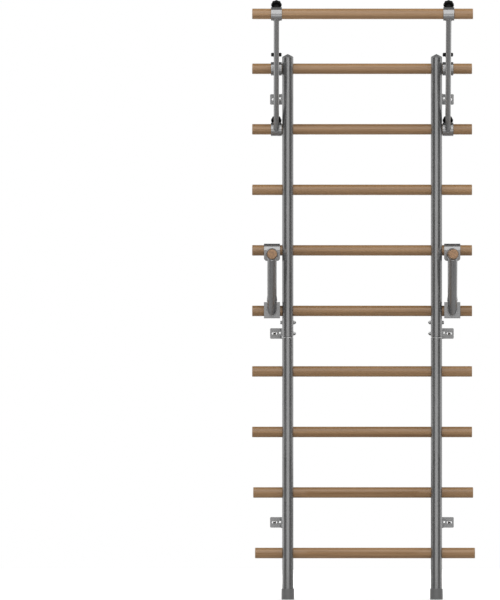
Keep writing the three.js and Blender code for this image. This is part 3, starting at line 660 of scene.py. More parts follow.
def black_moulding():
    """Moulded black plastic, satin, polished a little by hands."""
    made, place = new_coat("black_moulding")
    grain = noise(place, (1700, 1700, 1700), 2)
    polish = noise(place, (45, 45, 45), 3)
    return dress(made, {
        "Base Color": blended(polish, grey(0.004), grey(0.010)),
        "Specular IOR Level": 0.03,
        "Roughness": 0.22 + 0.16 * polish,
        "Normal": bumped(grain, 0.1, 0.06 * MM),
    })


def log_rings(log):
    """How far each point lies through its growth ring, from 0 to 1, in a log along its own X axis."""
    radius = length_of(stretched(log, (0, 1, 1)))
    wave = noise(log, (2.5, 22, 22), 3)
    count = radius / RING_WIDTH + 1.6 * wave
    return count.math("FRACT", count)


def oak_long():
    """Oiled hardwood along the grain: streaks, rings and pores; level bars pale at their end edges, partly
    from wear and partly as a painted highlight, and grip ends painted dark as shade.
    """
    made, tone = new_finish("oak_long")
    log = marked(tone, "log", "Vector")
    wear_and_painted_light = marked(tone, "wear_and_painted_light")
    pale = marked(tone, "pale")
    ring = log_rings(log)
    streak = noise(log, (1.4, 75, 75), 4, 0.6)
    fibre = noise(log, (7, 520, 520), 3, 0.6)
    pore = ramp(noise(log, (30, 1500, 1500), 1), 0.62, 0.75)
    shade = ramp(streak, 0.3, 0.7) * 0.55 + fibre * 0.3 + ring * ring * 0.25 + pale
    base = blended(shade, (0.165, 0.088, 0.035, 1), (0.350, 0.208, 0.100, 1))
    base = blended(pore * 0.45, base, (0.10, 0.054, 0.026, 1))
    # Painted shade: the chamfered ends of the grips go dark, as the shadow ring where they leave the sleeve
    base = blended(ramp(wear_and_painted_light, 0, -1, 0, 0.9), base, (0.050, 0.032, 0.020, 1))
    return dress(made, {
        # The pale ends of level bars are partly wear and partly a painted highlight where the chamfer
        # catches light
        "Base Color": blended(ramp(wear_and_painted_light, 0, 1, 0, 0.75), base, (0.40, 0.31, 0.23, 1)),
        "Roughness": 0.24 + 0.14 * fibre + 0.15 * pore,
        "Normal": bumped(fibre - pore, 0.12, 0.15 * MM),
    })


def oak_end():
    """Sawn end of the same wood: ring arcs, rays and open pores."""
    made, tone = new_finish("oak_end")
    log = marked(tone, "log", "Vector")
    ring = log_rings(log)
    fleck = ramp(noise(log, (140, 140, 140), 3), 0.38, 0.62)
    pore = ramp(noise(log, (900, 1300, 1300), 1), 0.6, 0.72)
    shade = ring * 0.5 + fleck * 0.5
    base = blended(shade, (0.12, 0.066, 0.032, 1), (0.43, 0.250, 0.132, 1))
    return dress(made, {
        "Base Color": blended(pore * 0.5, base, (0.10, 0.055, 0.027, 1)),
        "Roughness": 0.5 + 0.2 * fleck,
        "Normal": bumped(ring - pore, 0.15, 0.15 * MM),
    })


STEEL = silver_paint()
ZINC = bright_zinc()
DULL = dull_zinc()
SHADE_STEEL = shade_steel()
GREY = grey_moulding()
BLACK = black_moulding()
OAK_LONG = oak_long()
OAK_END = oak_end()


# Wooden rungs, bar and grips

grain_draw = random.Random(GRAIN_SEED)


def mark_grain(mesh, centre, axis, end, paleness):
    """Says where in its log each point of a bar was sawn from, how pale it is, and where its ends carry
    wear and painted light.
    """
    sideways = axis.cross(Z_AXIS)
    pith_along = grain_draw.uniform(0, LOG_LENGTH)
    pith_aside = grain_draw.uniform(-PITH_ASIDE, PITH_ASIDE)
    pith = Vector((pith_along, pith_aside, grain_draw.uniform(PITH_NEAR, PITH_FAR)))
    kinds = {"log": "FLOAT_VECTOR", "wear_and_painted_light": "FLOAT", "pale": "FLOAT"}
    for name, kind in kinds.items():
        mesh.attributes.new(name, kind, "POINT")
    log, wear_and_painted_light, pale = (mesh.attributes[name].data for name in kinds)
    # Level bars are pale at their ends, partly worn and partly a painted highlight; the ends of grips are
    # painted dark as shade
    end_mark_sign = 1.0 if axis.x else -1.0
    for number, vertex in enumerate(mesh.vertices):
        offset = vertex.co - centre
        along = offset.dot(axis)
        log[number].vector = pith + Vector((along, offset.dot(sideways), offset.z))
        wear_and_painted_light[number].value = end_mark_sign if abs(along) > end - BAR_CHAMFER else 0.0
        pale[number].value = paleness


def wooden_bar(node, axis, paleness):
    low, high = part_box(node)
    centre = middle(node)
    radius = bar_radius(node)
    end = (high - low).dot(axis) / 2
    chamfer = [
        (BAR_CHAMFER + CHAMFER_START, 0),
        (BAR_CHAMFER + CHAMFER_NICK, CHAMFER_NICK),
        (BAR_CHAMFER - CHAMFER_SLOPE, CHAMFER_SLOPE),
    ]
    chamfer += [(depth, inset) for inset, depth in reversed(chamfer)]
    profile = [(radius - inset, depth - end) for inset, depth in chamfer]
    profile += [(radius - inset, end - depth) for inset, depth in reversed(chamfer)]
    across = Y_AXIS if axis.x else X_AXIS
    bar = turned(profile, frame_along(axis, centre, across))
    mark_grain(bar.data, centre, axis, end, paleness)
    second_finish(bar, lambda face: abs(face.normal.dot(axis)) > SQUARELY)
    show(bar, node, [OAK_LONG, OAK_END])


for rung in RUNGS:
    wooden_bar(rung, X_AXIS, grain_draw.uniform(-RUNG_PALENESS, RUNG_PALENESS))
wooden_bar("pull_up_bar", X_AXIS, BAR_PALENESS)
for side in SIDES:
    wooden_bar(f"{side}_dip_grip", Y_AXIS, GRIP_PALENESS)


# Uprights, caps and feet


def upright(node, foot_edge, head_edge):
    """A flat oval tube that is rounded over at its ends. A top with a wide edge has bright zinc on its
    rounding, a painted highlight along the joint.
    """
    low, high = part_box(node)
    width = high.x - low.x
    rings = [oval_ring(low, high, inset, low.z + rise) for inset, rise in rounding(foot_edge)]
    rings += [oval_ring(low, high, inset, high.z - drop) for drop, inset in rounding(head_edge)]
    rings += [oval_ring(low, high, TUBE_WALL, height) for height in (high.z, low.z)]
    tube = solid(rings, Matrix.Translation(middle(node)), wrap=True)
    holes = []
    for rung in RUNGS:
        centre = middle(rung)
        if low.z < centre.z < high.z:
            start = Vector((low.x - width, centre.y, centre.z))
            stop = Vector((high.x + width, centre.y, centre.z))
            holes.append(rod(bar_radius(rung) + SEAT_GAP, start, stop))
    carve(tube, holes)
    # Painted highlight: bright zinc on the rounding at the top of the lower tube, along the joint
    if head_edge > TUBE_EDGE:
        second_finish(tube, lambda face: face.center.z > high.z - HIGHLIGHT_SHARE * head_edge)
    show(tube, node, [STEEL, ZINC])


def top_cap(side):
    low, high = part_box(f"{side}_upper_upright")
    width = high.x - low.x
    depth = high.y - low.y
    rise = CAP_RIM + CAP_RISE
    base = Vector(((low.x + high.x) / 2, (low.y + high.y) / 2, high.z + SEAT_GAP))
    oval = flat_oval(width, depth)
    crown = solid([level(oval, 0), level(oval, rise)], Matrix.Translation(base))
    fall = CAP_RIM - CAP_RISE
    gable = [(-width, fall), (width, fall), (0, rise)]
    ridge = CAP_RIDGE / 2
    reach = depth - ridge
    hip = [(-reach, fall), (reach, fall), (ridge, rise), (-ridge, rise)]
    roofs = [prism(gable, 3 * depth, front_frame(base)), prism(hip, 3 * width, side_frame(base))]
    carve(crown, roofs, "INTERSECT")
    show(soften(crown, CAP_EDGE, CAP_EDGE_STEPS), f"{side}_top_cap", [GREY])


def foot(side):
    node = f"{side}_foot"
    low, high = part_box(node)
    steps = eased(low.z, high.z, FOOT_EDGE) + [(FOOT_WALL, high.z), (FOOT_WALL, low.z + FOOT_FLOOR)]
    rings = [oval_ring(low, high, inset, height) for inset, height in steps]
    show(solid(rings, Matrix.Translation(middle(node))), node, [GREY])


for side in SIDES:
    upright(f"{side}_upper_upright", TUBE_EDGE, TUBE_EDGE)
    upright(f"{side}_lower_upright", TUBE_EDGE, JOINT_EDGE)
    top_cap(side)
    foot(side)
    # The spigots are dark steel, painted shade in the gap of the joint
    spigot = frame["nodes"][f"{side}_joint_spigot"]
    spigot.data.materials.clear()
    spigot.data.materials.append(SHADE_STEEL)


# Bolts, nuts and screws, made about their own axes with the head up and the seat at height 0


def bolt_ring(radius, height):
    return circle(radius, height, BOLT_STEPS)


def hexagon(limit, height):
    """A ring of a bolt's hexagon, whose corners are turned off at a radius."""
    def reach(angle):
        from_flat = (angle + HEX_HALF) % (2 * HEX_HALF) - HEX_HALF
        return min(BOLT_FLAT / math.cos(from_flat), limit)

    return waved_ring(reach, height, BOLT_STEPS)


def thread(radius, start, stop, pitch, depth):
    """Rings of a thread, from one height up to another."""
    rings = []
    count = max(1, int((stop - start) / pitch))
    for turn in range(count):
        crest = start + (stop - start) * (turn + THREAD_CREST) / count
        root = start + (stop - start) * (turn + THREAD_ROOT) / count
        rings += [bolt_ring(radius, crest), bolt_ring(radius - depth, root)]
    return rings


def hex_head(dish):
    """Rings of a flanged hexagon, from its seat to the dish in its top."""
    corner = BOLT_FLAT / math.cos(HEX_HALF)
    rings = [
        bolt_ring(BOLT_FLANGE - FLANGE_LOW_EDGE, 0),
        bolt_ring(BOLT_FLANGE, FLANGE_LOW_EDGE),
        bolt_ring(BOLT_FLANGE, FLANGE_RIM),
        bolt_ring(BOLT_FLANGE - FLANGE_HIGH_EDGE, FLANGE_RIM + FLANGE_HIGH_EDGE),
        hexagon(corner, BOLT_FLANGE_HEIGHT),
        hexagon(corner, BOLT_HEAD - HEX_CHAMFER),
    ]
    for step in range(1, EDGE_STEPS + 1):
        share = step / EDGE_STEPS
        limit = corner - HEX_CORNER_LOSS * HEX_CHAMFER * share
        rings.append(hexagon(limit, BOLT_HEAD - HEX_CHAMFER * (1 - share)))
    rings.append(bolt_ring(BOLT_FLAT - HEX_RIM, BOLT_HEAD))
    rings.append(bolt_ring(BOLT_FLAT - HEX_DISH, BOLT_HEAD - dish))
    return rings


def show_bolt(made, node, axis, flats):
    """Bright across the axis, with a finish of their own on the flats and threads along it."""
    second_finish(made, lambda face: abs(face.normal.dot(axis)) < FLATS_BELOW)
    show(made, node, [ZINC, flats])


def flange_bolt(node, axis, flats):
    """A flange bolt that fills its node's box, with its head at the end that an axis points to."""
    low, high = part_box(node)
    tip, head = (high, low) if axis.x < 0 else (low, high)
    seat = middle(node)
    seat.x = head.x - axis.x * BOLT_HEAD
    shank = abs(seat.x - tip.x)
    rings = [bolt_ring(BOLT_RADIUS - BOLT_END, -shank), bolt_ring(BOLT_RADIUS, BOLT_END - shank)]
    rings += thread(BOLT_RADIUS, BOLT_END - shank, BOLT_THREAD - shank, BOLT_PITCH, BOLT_THREAD_DEPTH)
    rings += [bolt_ring(BOLT_RADIUS, BOLT_THREAD + THREAD_RUNOUT - shank), bolt_ring(BOLT_RADIUS, 0)]
    place = frame_along(axis, seat, Z_AXIS)
    show_bolt(solid(rings + hex_head(HEX_DISH_DEPTH), place), node, axis, flats)


def flange_nut(node, axis):
    low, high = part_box(node)
    seat = middle(node)
    seat.x = high.x if axis.x < 0 else low.x
    bore = BOLT_RADIUS + SEAT_GAP
    rings = [bolt_ring(bore, 0)] + hex_head(0)[:-1]
    rings += [bolt_ring(bore + NUT_EDGE, BOLT_HEAD), bolt_ring(bore, BOLT_HEAD - NUT_EDGE)]
    show_bolt(solid(rings, frame_along(axis, seat, Z_AXIS), wrap=True), node, axis, DULL)


def star(radius, height):
    """A ring of small lobes, for the drive of a screw."""
    def reach(angle):
        return radius + DRIVE_WAVE * radius * math.cos(DRIVE_LOBES * angle)

    return waved_ring(reach, height, BOLT_STEPS)


def dome_screw(node, axis, shank_radius, head_height):
    """A dome-headed screw of bright zinc, with a coarse thread and a lobed drive painted dark as shade."""
    low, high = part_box(node)
    span = high - low
    length = abs(span.dot(axis))
    head = max(span - Vector([abs(part) for part in axis]) * length) / 2
    seat = middle(node) + axis * (length / 2 - head_height)
    shank = length - head_height
    point = 2 * shank_radius
    rings = [
        bolt_ring(SCREW_TIP * shank_radius, -shank),
        bolt_ring(SCREW_TAPER * shank_radius, SCREW_TAPER_HEIGHT * point - shank),
    ]
    rings += thread(shank_radius, point - shank, -SCREW_NECK, SCREW_PITCH, SCREW_ROOT * shank_radius)
    rings += [
        bolt_ring(shank_radius, -SCREW_NECK / 2),
        bolt_ring(shank_radius, 0),
        bolt_ring(head - SCREW_HEAD_EDGE, 0),
    ]
    for step in range(DOME_STEPS):
        turn = math.radians(DOME_FOOT_ANGLE + DOME_STEP_ANGLE * step)
        rings.append(bolt_ring(head * math.cos(turn), head_height * math.sin(turn)))
    drive = DRIVE * head
    rings += [
        bolt_ring(DRIVE_RIM * drive, DRIVE_RIM_HEIGHT * head_height),
        star(drive, DRIVE_TOP * head_height),
        star(drive, DRIVE_FLOOR * head_height),
    ]
    place = frame_along(axis, seat, Z_AXIS if abs(axis.z) < MAINLY else X_AXIS)
    screw = solid(rings, place)
    to_screw = place.inverted()

    # Painted shade: the faces in and about the drive take the dark steel
    def in_drive(face):
        spot = to_screw @ face.center
        return spot.z > DARK_ABOVE * head_height and spot.xy.length < DARK_WITHIN * drive

    second_finish(screw, in_drive)
    show(screw, node, [ZINC, SHADE_STEEL])


for side, sign in SIDES.items():
    outwards = sign * X_AXIS
    for name in ("top_bracket_bolt", "bottom_bracket_bolt", "low_joint_bolt"):
        flange_bolt(f"{side}_{name}", outwards, ZINC)
    flange_bolt(f"{side}_high_joint_bolt", outwards, DULL)
    for name in ("high_joint_nut", "low_joint_nut"):
        flange_nut(f"{side}_{name}", -outwards)
    for name in ("top", "middle", "bottom"):
        dome_screw(f"{side}_{name}_wall_screw", -Y_AXIS, *WALL_SCREW)
    dome_screw(f"{side}_rung_lock_screw", Y_AXIS, *LOCK_SCREW)
    dome_screw(f"{side}_grip_screw", -Z_AXIS, *GRIP_SCREW)


# Wall brackets


def wall_bracket(node, sign, bolt_node):
    low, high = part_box(node)
    height = high.z - low.z
    thick = BRACKET_THICKNESS
    end = high.x - low.x
    bend_x = low.x if sign > 0 else high.x
    front = low.y
    bend = thick + BRACKET_BEND
    outline = [(0, front), (thick, front)]
    outline += arc(bend, -bend, BRACKET_BEND, 180, 90, CORNER_STEPS)
    outline += [(end, -thick), (end, 0)]
    outline += arc(bend, -bend, bend, 90, 180, 2 * CORNER_STEPS)
    bar = prism(outline, height, Matrix())
    leg = prism(rounded_box(-2 * front, height, BRACKET_CORNER), 4 * end, side_frame(Vector()))
    flange = prism(rounded_box(2 * end, height, BRACKET_CORNER), -6 * front, front_frame(Vector()))
    carve(bar, [leg, flange], "INTERSECT")
    slot_centre = abs(middle(node.replace("bracket", "screw")).x - bend_x)
    slot = rounded_box(SLOT_LENGTH, SLOT_WIDTH, SLOT_WIDTH / 2 - SEAT_GAP)
    slot_place = Vector((slot_centre, 0, 0))
    bolt_y = middle(bolt_node).y
    hole = rod(BOLT_RADIUS + SEAT_GAP, Vector((-end, bolt_y, 0)), Vector((end, bolt_y, 0)))
    carve(bar, [prism(slot, 4 * thick, front_frame(slot_place)), hole])
    soften(bar, BRACKET_EDGE)
    base = Vector((bend_x, 0, (low.z + high.z) / 2))
    bar.data.transform(Matrix.Translation(base) @ Matrix.Diagonal((sign, 1, 1, 1)))
    if sign < 0:
        bar.data.flip_normals()
    show(bar, node, [STEEL])


for side, sign in SIDES.items():
    for place, bolt in {"top": "top_bracket", "middle": "low_joint", "bottom": "bottom_bracket"}.items():
        wall_bracket(f"{side}_{place}_wall_bracket", sign, f"{side}_{bolt}_bolt")


# Pull-up brackets


def axis_point(node, x):
    """Where the axis of a bar crosses the plane of a bracket."""
    point = middle(node)
    point.x = x
    return point


def collar(point, radius):
    half = COLLAR_WIDTH / 2
    profile = [(radius - inset, height) for inset, height in eased(-half, half, COLLAR_EDGE)]
    return turned(profile, frame_along(X_AXIS, point, Y_AXIS))


def keyhole(point, slot_along, radius, slot_width, slot_reach):
    """A round hole with a slot that runs both ways from its middle."""
    reach = COLLAR_WIDTH * X_AXIS
    hole = rod(radius, point - reach, point + reach)
    slot = rounded_box(slot_width, 2 * slot_reach, KEYHOLE_CORNER * slot_width)
    place = frame_along(X_AXIS, point, slot_along.cross(X_AXIS))
    return weld(hole, [prism(slot, 2 * COLLAR_WIDTH, place)])


def round_weld(outline, radius, point, along, across):
    """The closed line where a tube along a direction meets a round collar."""
    path = []
    for side, up in outline:
        reach = math.sqrt(radius * radius - up * up)
        path.append(point + along * reach + across * up + X_AXIS * side)
    return path


def pull_up_bracket(side):
    node = f"{side}_pull_up_bracket"
    x = middle(node).x
    lower = axis_point("rung_2", x)
    upper = axis_point("rung_1", x)
    bar = axis_point("pull_up_bar", x)
    along = (bar - lower).normalized()
    across = along.cross(X_AXIS)
    length = (bar - lower).length
    points = (lower, upper, bar)
    radii = [bar_radius(name) for name in ("rung_2", "rung_1", "pull_up_bar")]
    bores = [radius + SLIDE_CLEARANCE for radius in radii]
    knob_axis = Vector((0, along.z, -along.y))
    knob_axes = (knob_axis, Z_AXIS, knob_axis)
    outer = bores[0] + COLLAR_WALL

    arm_oval = flat_oval(ARM_THICKNESS, ARM_DEPTH)
    arm = solid([level(arm_oval, 0), level(arm_oval, length)], frame_along(along, lower))
    strut_length = (lower.y - bar.y) * (upper.z - lower.z) / (bar.z - lower.z)
    strut_box = rounded_box(STRUT_THICKNESS, STRUT_DEPTH, STRUT_CORNER)
    strut = solid([level(strut_box, 0), level(strut_box, strut_length)], frame_along(-Y_AXIS, upper))
    collars = [collar(point, bore + COLLAR_WALL) for point, bore in zip(points, bores)]
    weld(arm, [strut] + collars)

    hollow_oval = flat_oval(ARM_THICKNESS - 2 * ARM_WALL, ARM_DEPTH - 2 * ARM_WALL)
    hollow_ends = [level(hollow_oval, outer), level(hollow_oval, length - outer)]
    hollow = solid(hollow_ends, frame_along(along, lower))
    reach = COLLAR_WIDTH * X_AXIS
    holes = [rod(bore, point - reach, point + reach) for point, bore in zip(points, bores)]
    for distance in (UPPER_ARM_HOLE, LOWER_ARM_HOLE):
        point = bar - along * distance
        holes.append(rod(ARM_HOLE, point - reach, point + reach))
    holes.append(keyhole(bar - along * SMALL_KEYHOLE, along, *SMALL_KEYHOLE_SIZE))
    holes.append(keyhole(bar - along * LARGE_KEYHOLE, Z_AXIS, *LARGE_KEYHOLE_SIZE))
    for point, axis in zip(points, knob_axes):
        holes.append(rod(BOLT_RADIUS + SEAT_GAP, point, point + axis * 2 * outer))
    carve(arm, [hollow] + holes)

    beads = [
        bead(round_weld(arm_oval, outer, lower, along, across)),
        bead(round_weld(arm_oval, outer, bar, -along, across)),
        bead(round_weld(strut_box, outer, upper, -Y_AXIS, Z_AXIS)),
    ]
    show(gather([arm] + beads), node, [STEEL])
    for name, point, axis, radius in zip(("lower", "upper", "bar"), points, knob_axes, radii):
        star_knob(f"{side}_{name}_knob", point, axis, radius, outer)


def knob_ring(radius, height):
    return circle(radius, height, LOBE_STEPS)


def lobed(inset, height):
    """A ring of a knob's lobes."""
    def reach(angle):
        return KNOB_RADIUS - KNOB_LOBE_DEPTH * (1 - math.cos(KNOB_LOBES * angle)) / 2 - inset

    return waved_ring(reach, height, LOBE_STEPS)


def star_knob(node, point, axis, radius, outer):
    """A lobed knob on its threaded stud, along an axis from the middle of the bar that it clamps."""
    hub = outer + KNOB_STANDOFF
    head = hub + KNOB_HUB
    top = head + KNOB_HEAD
    tip = radius + SEAT_GAP
    stud = [circle(BOLT_RADIUS - BOLT_END, tip), circle(BOLT_RADIUS, tip + BOLT_END)]
    for turn in range(int((hub - tip - STUD_LEAD) / BOLT_PITCH)):
        height = tip + STUD_LEAD + turn * BOLT_PITCH
        stud.append(circle(BOLT_RADIUS - STUD_THREAD_DEPTH, height + STUD_ROOT * BOLT_PITCH))
        stud.append(circle(BOLT_RADIUS, height + STUD_CREST * BOLT_PITCH))
    stud.append(circle(BOLT_RADIUS, hub + STUD_LEAD))
    flare = KNOB_HUB_FOOT + KNOB_FLARE * (KNOB_HUB_TOP - KNOB_HUB_FOOT)
    shape = [
        knob_ring(KNOB_HUB_FOOT - KNOB_FOOT_EDGE, hub),
        knob_ring(KNOB_HUB_FOOT, hub + KNOB_FOOT_EDGE),
        knob_ring(KNOB_HUB_FOOT, hub + KNOB_NECK),
        knob_ring(flare, hub + KNOB_FLARE_HEIGHT * KNOB_HUB),
        knob_ring(KNOB_HUB_TOP, head),
    ]
    shape += [lobed(inset, head + rise) for inset, rise in rounding(KNOB_EDGE)]
    shape += [lobed(inset, top - drop) for drop, inset in rounding(KNOB_EDGE)]
    shape += [
        knob_ring(KNOB_DISC + DISC_RIM, top),
        knob_ring(KNOB_DISC + DISC_GROOVE, top - DISC_GROOVE_DEPTH),
        knob_ring(KNOB_DISC, top - DISC_GROOVE_DEPTH),
        knob_ring(KNOB_DISC - DISC_EDGE, top - DISC_DROP),
    ]
    place = frame_along(axis, point)
    plastic = solid(shape, place)
    metal = solid(stud, place)
    second_finish(metal, lambda face: True)
    show(gather([plastic, metal]), node, [BLACK, ZINC])


for side in SIDES:
    pull_up_bracket(side)


# Dip arms


def hook(point, bore):
    outer = bore + HOOK_THICKNESS
    strap = arc(0, 0, outer, 0, 180, ROUND_STEPS) + [(-outer, -HOOK_LEG), (-bore, -HOOK_LEG)]
    strap += arc(0, 0, bore, 180, 0, ROUND_STEPS) + [(bore, -HOOK_LEG), (outer, -HOOK_LEG)]
    made = prism(strap, PLATE_WIDTH, side_frame(point))
    across = PLATE_WIDTH / 2 - HOOK_CORNER
    up = HOOK_CORNER - HOOK_LEG
    top = 2 * HOOK_LEG
    beyond = PLATE_WIDTH / 2 + PLATE_MARGIN
    front = [(beyond, top), (-beyond, top), (-beyond, up)]
    front += arc(-across, up, HOOK_CORNER, 180, 270, 2 * CORNER_STEPS)
    front += arc(across, up, HOOK_CORNER, 270, 360, 2 * CORNER_STEPS)
    front.append((beyond, up))
    carve(made, [prism(front, 4 * outer, front_frame(point))], "INTERSECT")
    return soften(made, PLATE_EDGE)


def saddle(point, radius):
    """A channel that is open to the wall, about the rung that the brace pushes on."""
    top = radius + SADDLE_ABOVE
    bottom = -radius - SADDLE_BELOW
    back = -radius - SEAT_GAP
    front = back - SADDLE_THICKNESS
    thick = SADDLE_THICKNESS
    outline = [(SADDLE_LEG, top), (SADDLE_LEG, top + thick)]
    outline += arc(front + SADDLE_BEND, top + thick - SADDLE_BEND, SADDLE_BEND, 90, 180, CORNER_STEPS)
    outline += arc(front + SADDLE_BEND, bottom - thick + SADDLE_BEND, SADDLE_BEND, 180, 270, CORNER_STEPS)
    outline += [(SADDLE_LEG, bottom - thick), (SADDLE_LEG, bottom), (back, bottom), (back, top)]
    return soften(prism(outline, PLATE_WIDTH, side_frame(point)), PLATE_EDGE)


def trough_cut(origin, sleeve):
    """What is cut off the sleeve to leave a trough ahead of its closed part, in the plane of the arm."""
    rim = -TROUGH_RIM_DROP
    top = 2 * sleeve
    bottom = -2 * sleeve
    lean = SLEEVE_SLANT / (sleeve + TROUGH_RIM_DROP)
    end_lean = TROUGH_SLANT / (sleeve - TROUGH_RIM_DROP)
    beyond = TROUGH_REACH + 2 * sleeve
    rim_back = -SLEEVE_REACH - SLEEVE_SLANT
    rim_front = TROUGH_SLANT - TROUGH_REACH
    outline = [
        (rim_back, rim),
        (rim_back + lean * (top - rim), top),
        (-beyond, top),
        (-beyond, bottom),
        (rim_front - end_lean * (rim - bottom), bottom),
        (rim_front, rim),
    ]
    return prism(outline, 4 * sleeve, side_frame(origin))


def dip_frame(side):
    node = f"{side}_dip_frame"
    x = middle(node).x
    hooked = axis_point("rung_4", x)
    pushed = axis_point("rung_5", x)
    grip = axis_point(f"{side}_dip_grip", x)
    grip.y = hooked.y
    bore = bar_radius("rung_4") + SLIDE_CLEARANCE
    hook_radius = bore + HOOK_THICKNESS
    sleeve_bore = bar_radius(f"{side}_dip_grip") + SEAT_GAP
    sleeve_radius = sleeve_bore + SLEEVE_WALL
    rung = bar_radius("rung_5")
    web = rung + SEAT_GAP + SADDLE_THICKNESS

    brace_top = grip - BRACE_REACH * Y_AXIS
    brace_foot = pushed - web * Y_AXIS + BRACE_FOOT_RISE * Z_AXIS
    brace_run = brace_foot - brace_top
    brace_along = brace_run.normalized()
    brace_end = brace_foot + brace_along * 2 * DIP_TUBE_RADIUS
    post_top = grip - POST_REACH * Y_AXIS
    post_foot = brace_top + brace_run * (post_top.y - brace_top.y) / (brace_foot.y - brace_top.y)

    made = hook(hooked, bore)
    grip_back = grip - hook_radius * Y_AXIS
    sleeve_back = grip - (hook_radius - HOOK_THICKNESS / 2) * Y_AXIS
    sleeve = rod(sleeve_radius, sleeve_back, grip - TROUGH_REACH * Y_AXIS)
    bore_end = grip_back - TROUGH_REACH * Y_AXIS
    carve(sleeve, [rod(sleeve_bore, grip_back, bore_end), trough_cut(grip, sleeve_radius)])
    soften(sleeve, SLEEVE_EDGE)
    # Painted shade: the sleeve's forward faces take the dark steel, as the shadow ring about the grip
    second_finish(sleeve, lambda face: face.normal.y < -MAINLY)
    brace = rod(DIP_TUBE_RADIUS, brace_top, brace_end)
    post = rod(DIP_TUBE_RADIUS, post_top, post_foot)
    mid_web = SADDLE_THICKNESS / 2 - web
    far = 5 * rung
    behind = [(mid_web, -far), (far, -far), (far, far), (mid_web, far)]
    carve(brace, [prism(behind, 2 * PLATE_WIDTH, side_frame(pushed))])
    weld(made, [brace, post, saddle(pushed, rung)])
    carve(made, [rod(sleeve_bore, grip_back, bore_end)])

    radius = DIP_TUBE_RADIUS
    brace_up = brace_along.cross(X_AXIS)
    if brace_up.z < 0:
        brace_up = -brace_up
    paths = {"plate": [], "post_top": [], "post_foot": [], "brace_top": [], "brace_foot": []}
    for step in range(BEAD_STEPS):
        turn = math.tau * step / BEAD_STEPS
        wide = sleeve_radius * math.cos(turn)
        rise = grip.z - hooked.z + sleeve_radius * math.sin(turn)
        depth = math.sqrt(hook_radius * hook_radius - max(rise, 0) ** 2)
        paths["plate"].append(hooked + Vector((wide, -depth, rise)))

        wide = radius * math.cos(turn)
        ahead = radius * math.sin(turn)
        under = math.sqrt(sleeve_radius * sleeve_radius - wide * wide)
        paths["post_top"].append(post_top + Vector((wide, ahead, -under)))
        thick = math.sqrt(max(radius * radius - wide * wide, 0)) / brace_up.z
        fall = ahead * brace_along.z / brace_along.y
        paths["post_foot"].append(post_foot + Vector((wide, ahead, fall + thick)))

        start = brace_top + X_AXIS * wide + brace_up * ahead
        reach = (grip.z - under - start.z) / brace_along.z
        paths["brace_top"].append(start + brace_along * reach)
        reach = (brace_foot.y - start.y) / brace_along.y
        paths["brace_foot"].append(start + brace_along * reach)
    show(gather([made, sleeve] + [bead(path) for path in paths.values()]), node, [STEEL, SHADE_STEEL])


for side in SIDES:
    dip_frame(side)


# Stage, light and camera

LIT_POINT = Vector((0, -0.2, 1.1))
LAMP_DISTANCE = 7.5
AMBIENT = 0.25

# The floor, and how far it is lifted to white between two distances
FLOOR_HALF = 9.0
FLOOR_TONE = 0.7
LIFT_NEAR = 1.5
LIFT_FAR = 8
LEAST_LIFT = 0.25
FULL_LIFT = 0.9

# Shades of the flags, the azimuths and heights between which they stand, and their distances
DARK_FLAG = 0.03
CEILING_FLAG = 0.1
POST_FLAG = 0.16
FLOOR_FLAG = 0.4
FLAG_ARCS = {"right": (-62, -8), "left": (188, 242), "back": (59, 121)}
HIGH_BACK_ARC = (74, 106)
HIGH_FRONT_ARC = (-125, -55)
FLAG_HEIGHTS = (-0.4, 3.6)
POST_FLAG_HEIGHTS = (0.003, 0.5)
CEILING = 10.5
HIGH_FLAG_HEIGHTS = (4, CEILING)
FLOOR_FLAG_HEIGHT = 0.002
FLAG_DISTANCE = 8.0
POST_FLAG_DISTANCE = 0.5
HIGH_FLAG_DISTANCE = 12
FLOOR_FLAG_HALF = 3

# Camera
CAMERA_X = -0.426
CAMERA_Z = 1.1385
CAMERA_LENS = 1300
SENSOR_WIDTH = 36
VIEW_HEIGHT = 2.28
CLIP_END = 400


def square(half):
    return [(-half, -half), (half, -half), (half, half), (-half, half)]


def plain_shader(name):
    """A material with nothing on its surface yet."""
    made, tone = new_finish(name)
    nodes = made.node_tree.nodes
    nodes.remove(nodes["Principled BSDF"])
    return made, tone, nodes["Material Output"].inputs["Surface"]


def seen_directly(tone):
    """1 for what the camera sees, straight or in a reflection or through glass."""
    rays = tone.node("LightPath").socket.node.outputs
    kinds = ("Camera", "Glossy", "Transmission")
    camera, glossy, through = (Tone(tone.tree, rays[f"Is {kind} Ray"]) for kind in kinds)
    return camera.math("MINIMUM", camera + glossy + through, 1.0)


def add_floor():
    """A pale floor, lifted to white for the camera where the lamps fall off, far from the object."""
    made, tone, surface = plain_shader("pale_floor")
    pale = tone.node("BsdfDiffuse", None, {"Color": grey(FLOOR_TONE)})
    away = length_of(tone.node("TexCoord", output="Object"))
    strength = ramp(away, LIFT_NEAR, LIFT_FAR, LEAST_LIFT, FULL_LIFT)
    lift = tone.node("Emission", None, {"Color": grey(1), "Strength": strength})
    lifted = tone.node("AddShader", None, {0: pale, 1: lift})
    join(tone.tree, surface, tone.node("MixShader", None, {0: seen_directly(tone), 1: pale, 2: lifted}))
    mesh = bpy.data.meshes.new("floor")
    mesh.from_pydata(level(square(FLOOR_HALF), 0), [], [(0, 1, 2, 3)])
    mesh.materials.append(made)
    linked(mesh)


def add_world():
    world = bpy.data.worlds.new("studio")
    bpy.context.scene.world = world
    world.use_nodes = True
    tree = world.node_tree
    sky = tree.nodes["Background"].inputs
    join(tree, sky["Color"], grey(1))
    join(tree, sky["Strength"], AMBIENT + (1 - AMBIENT) * seen_directly(Tone(tree)))


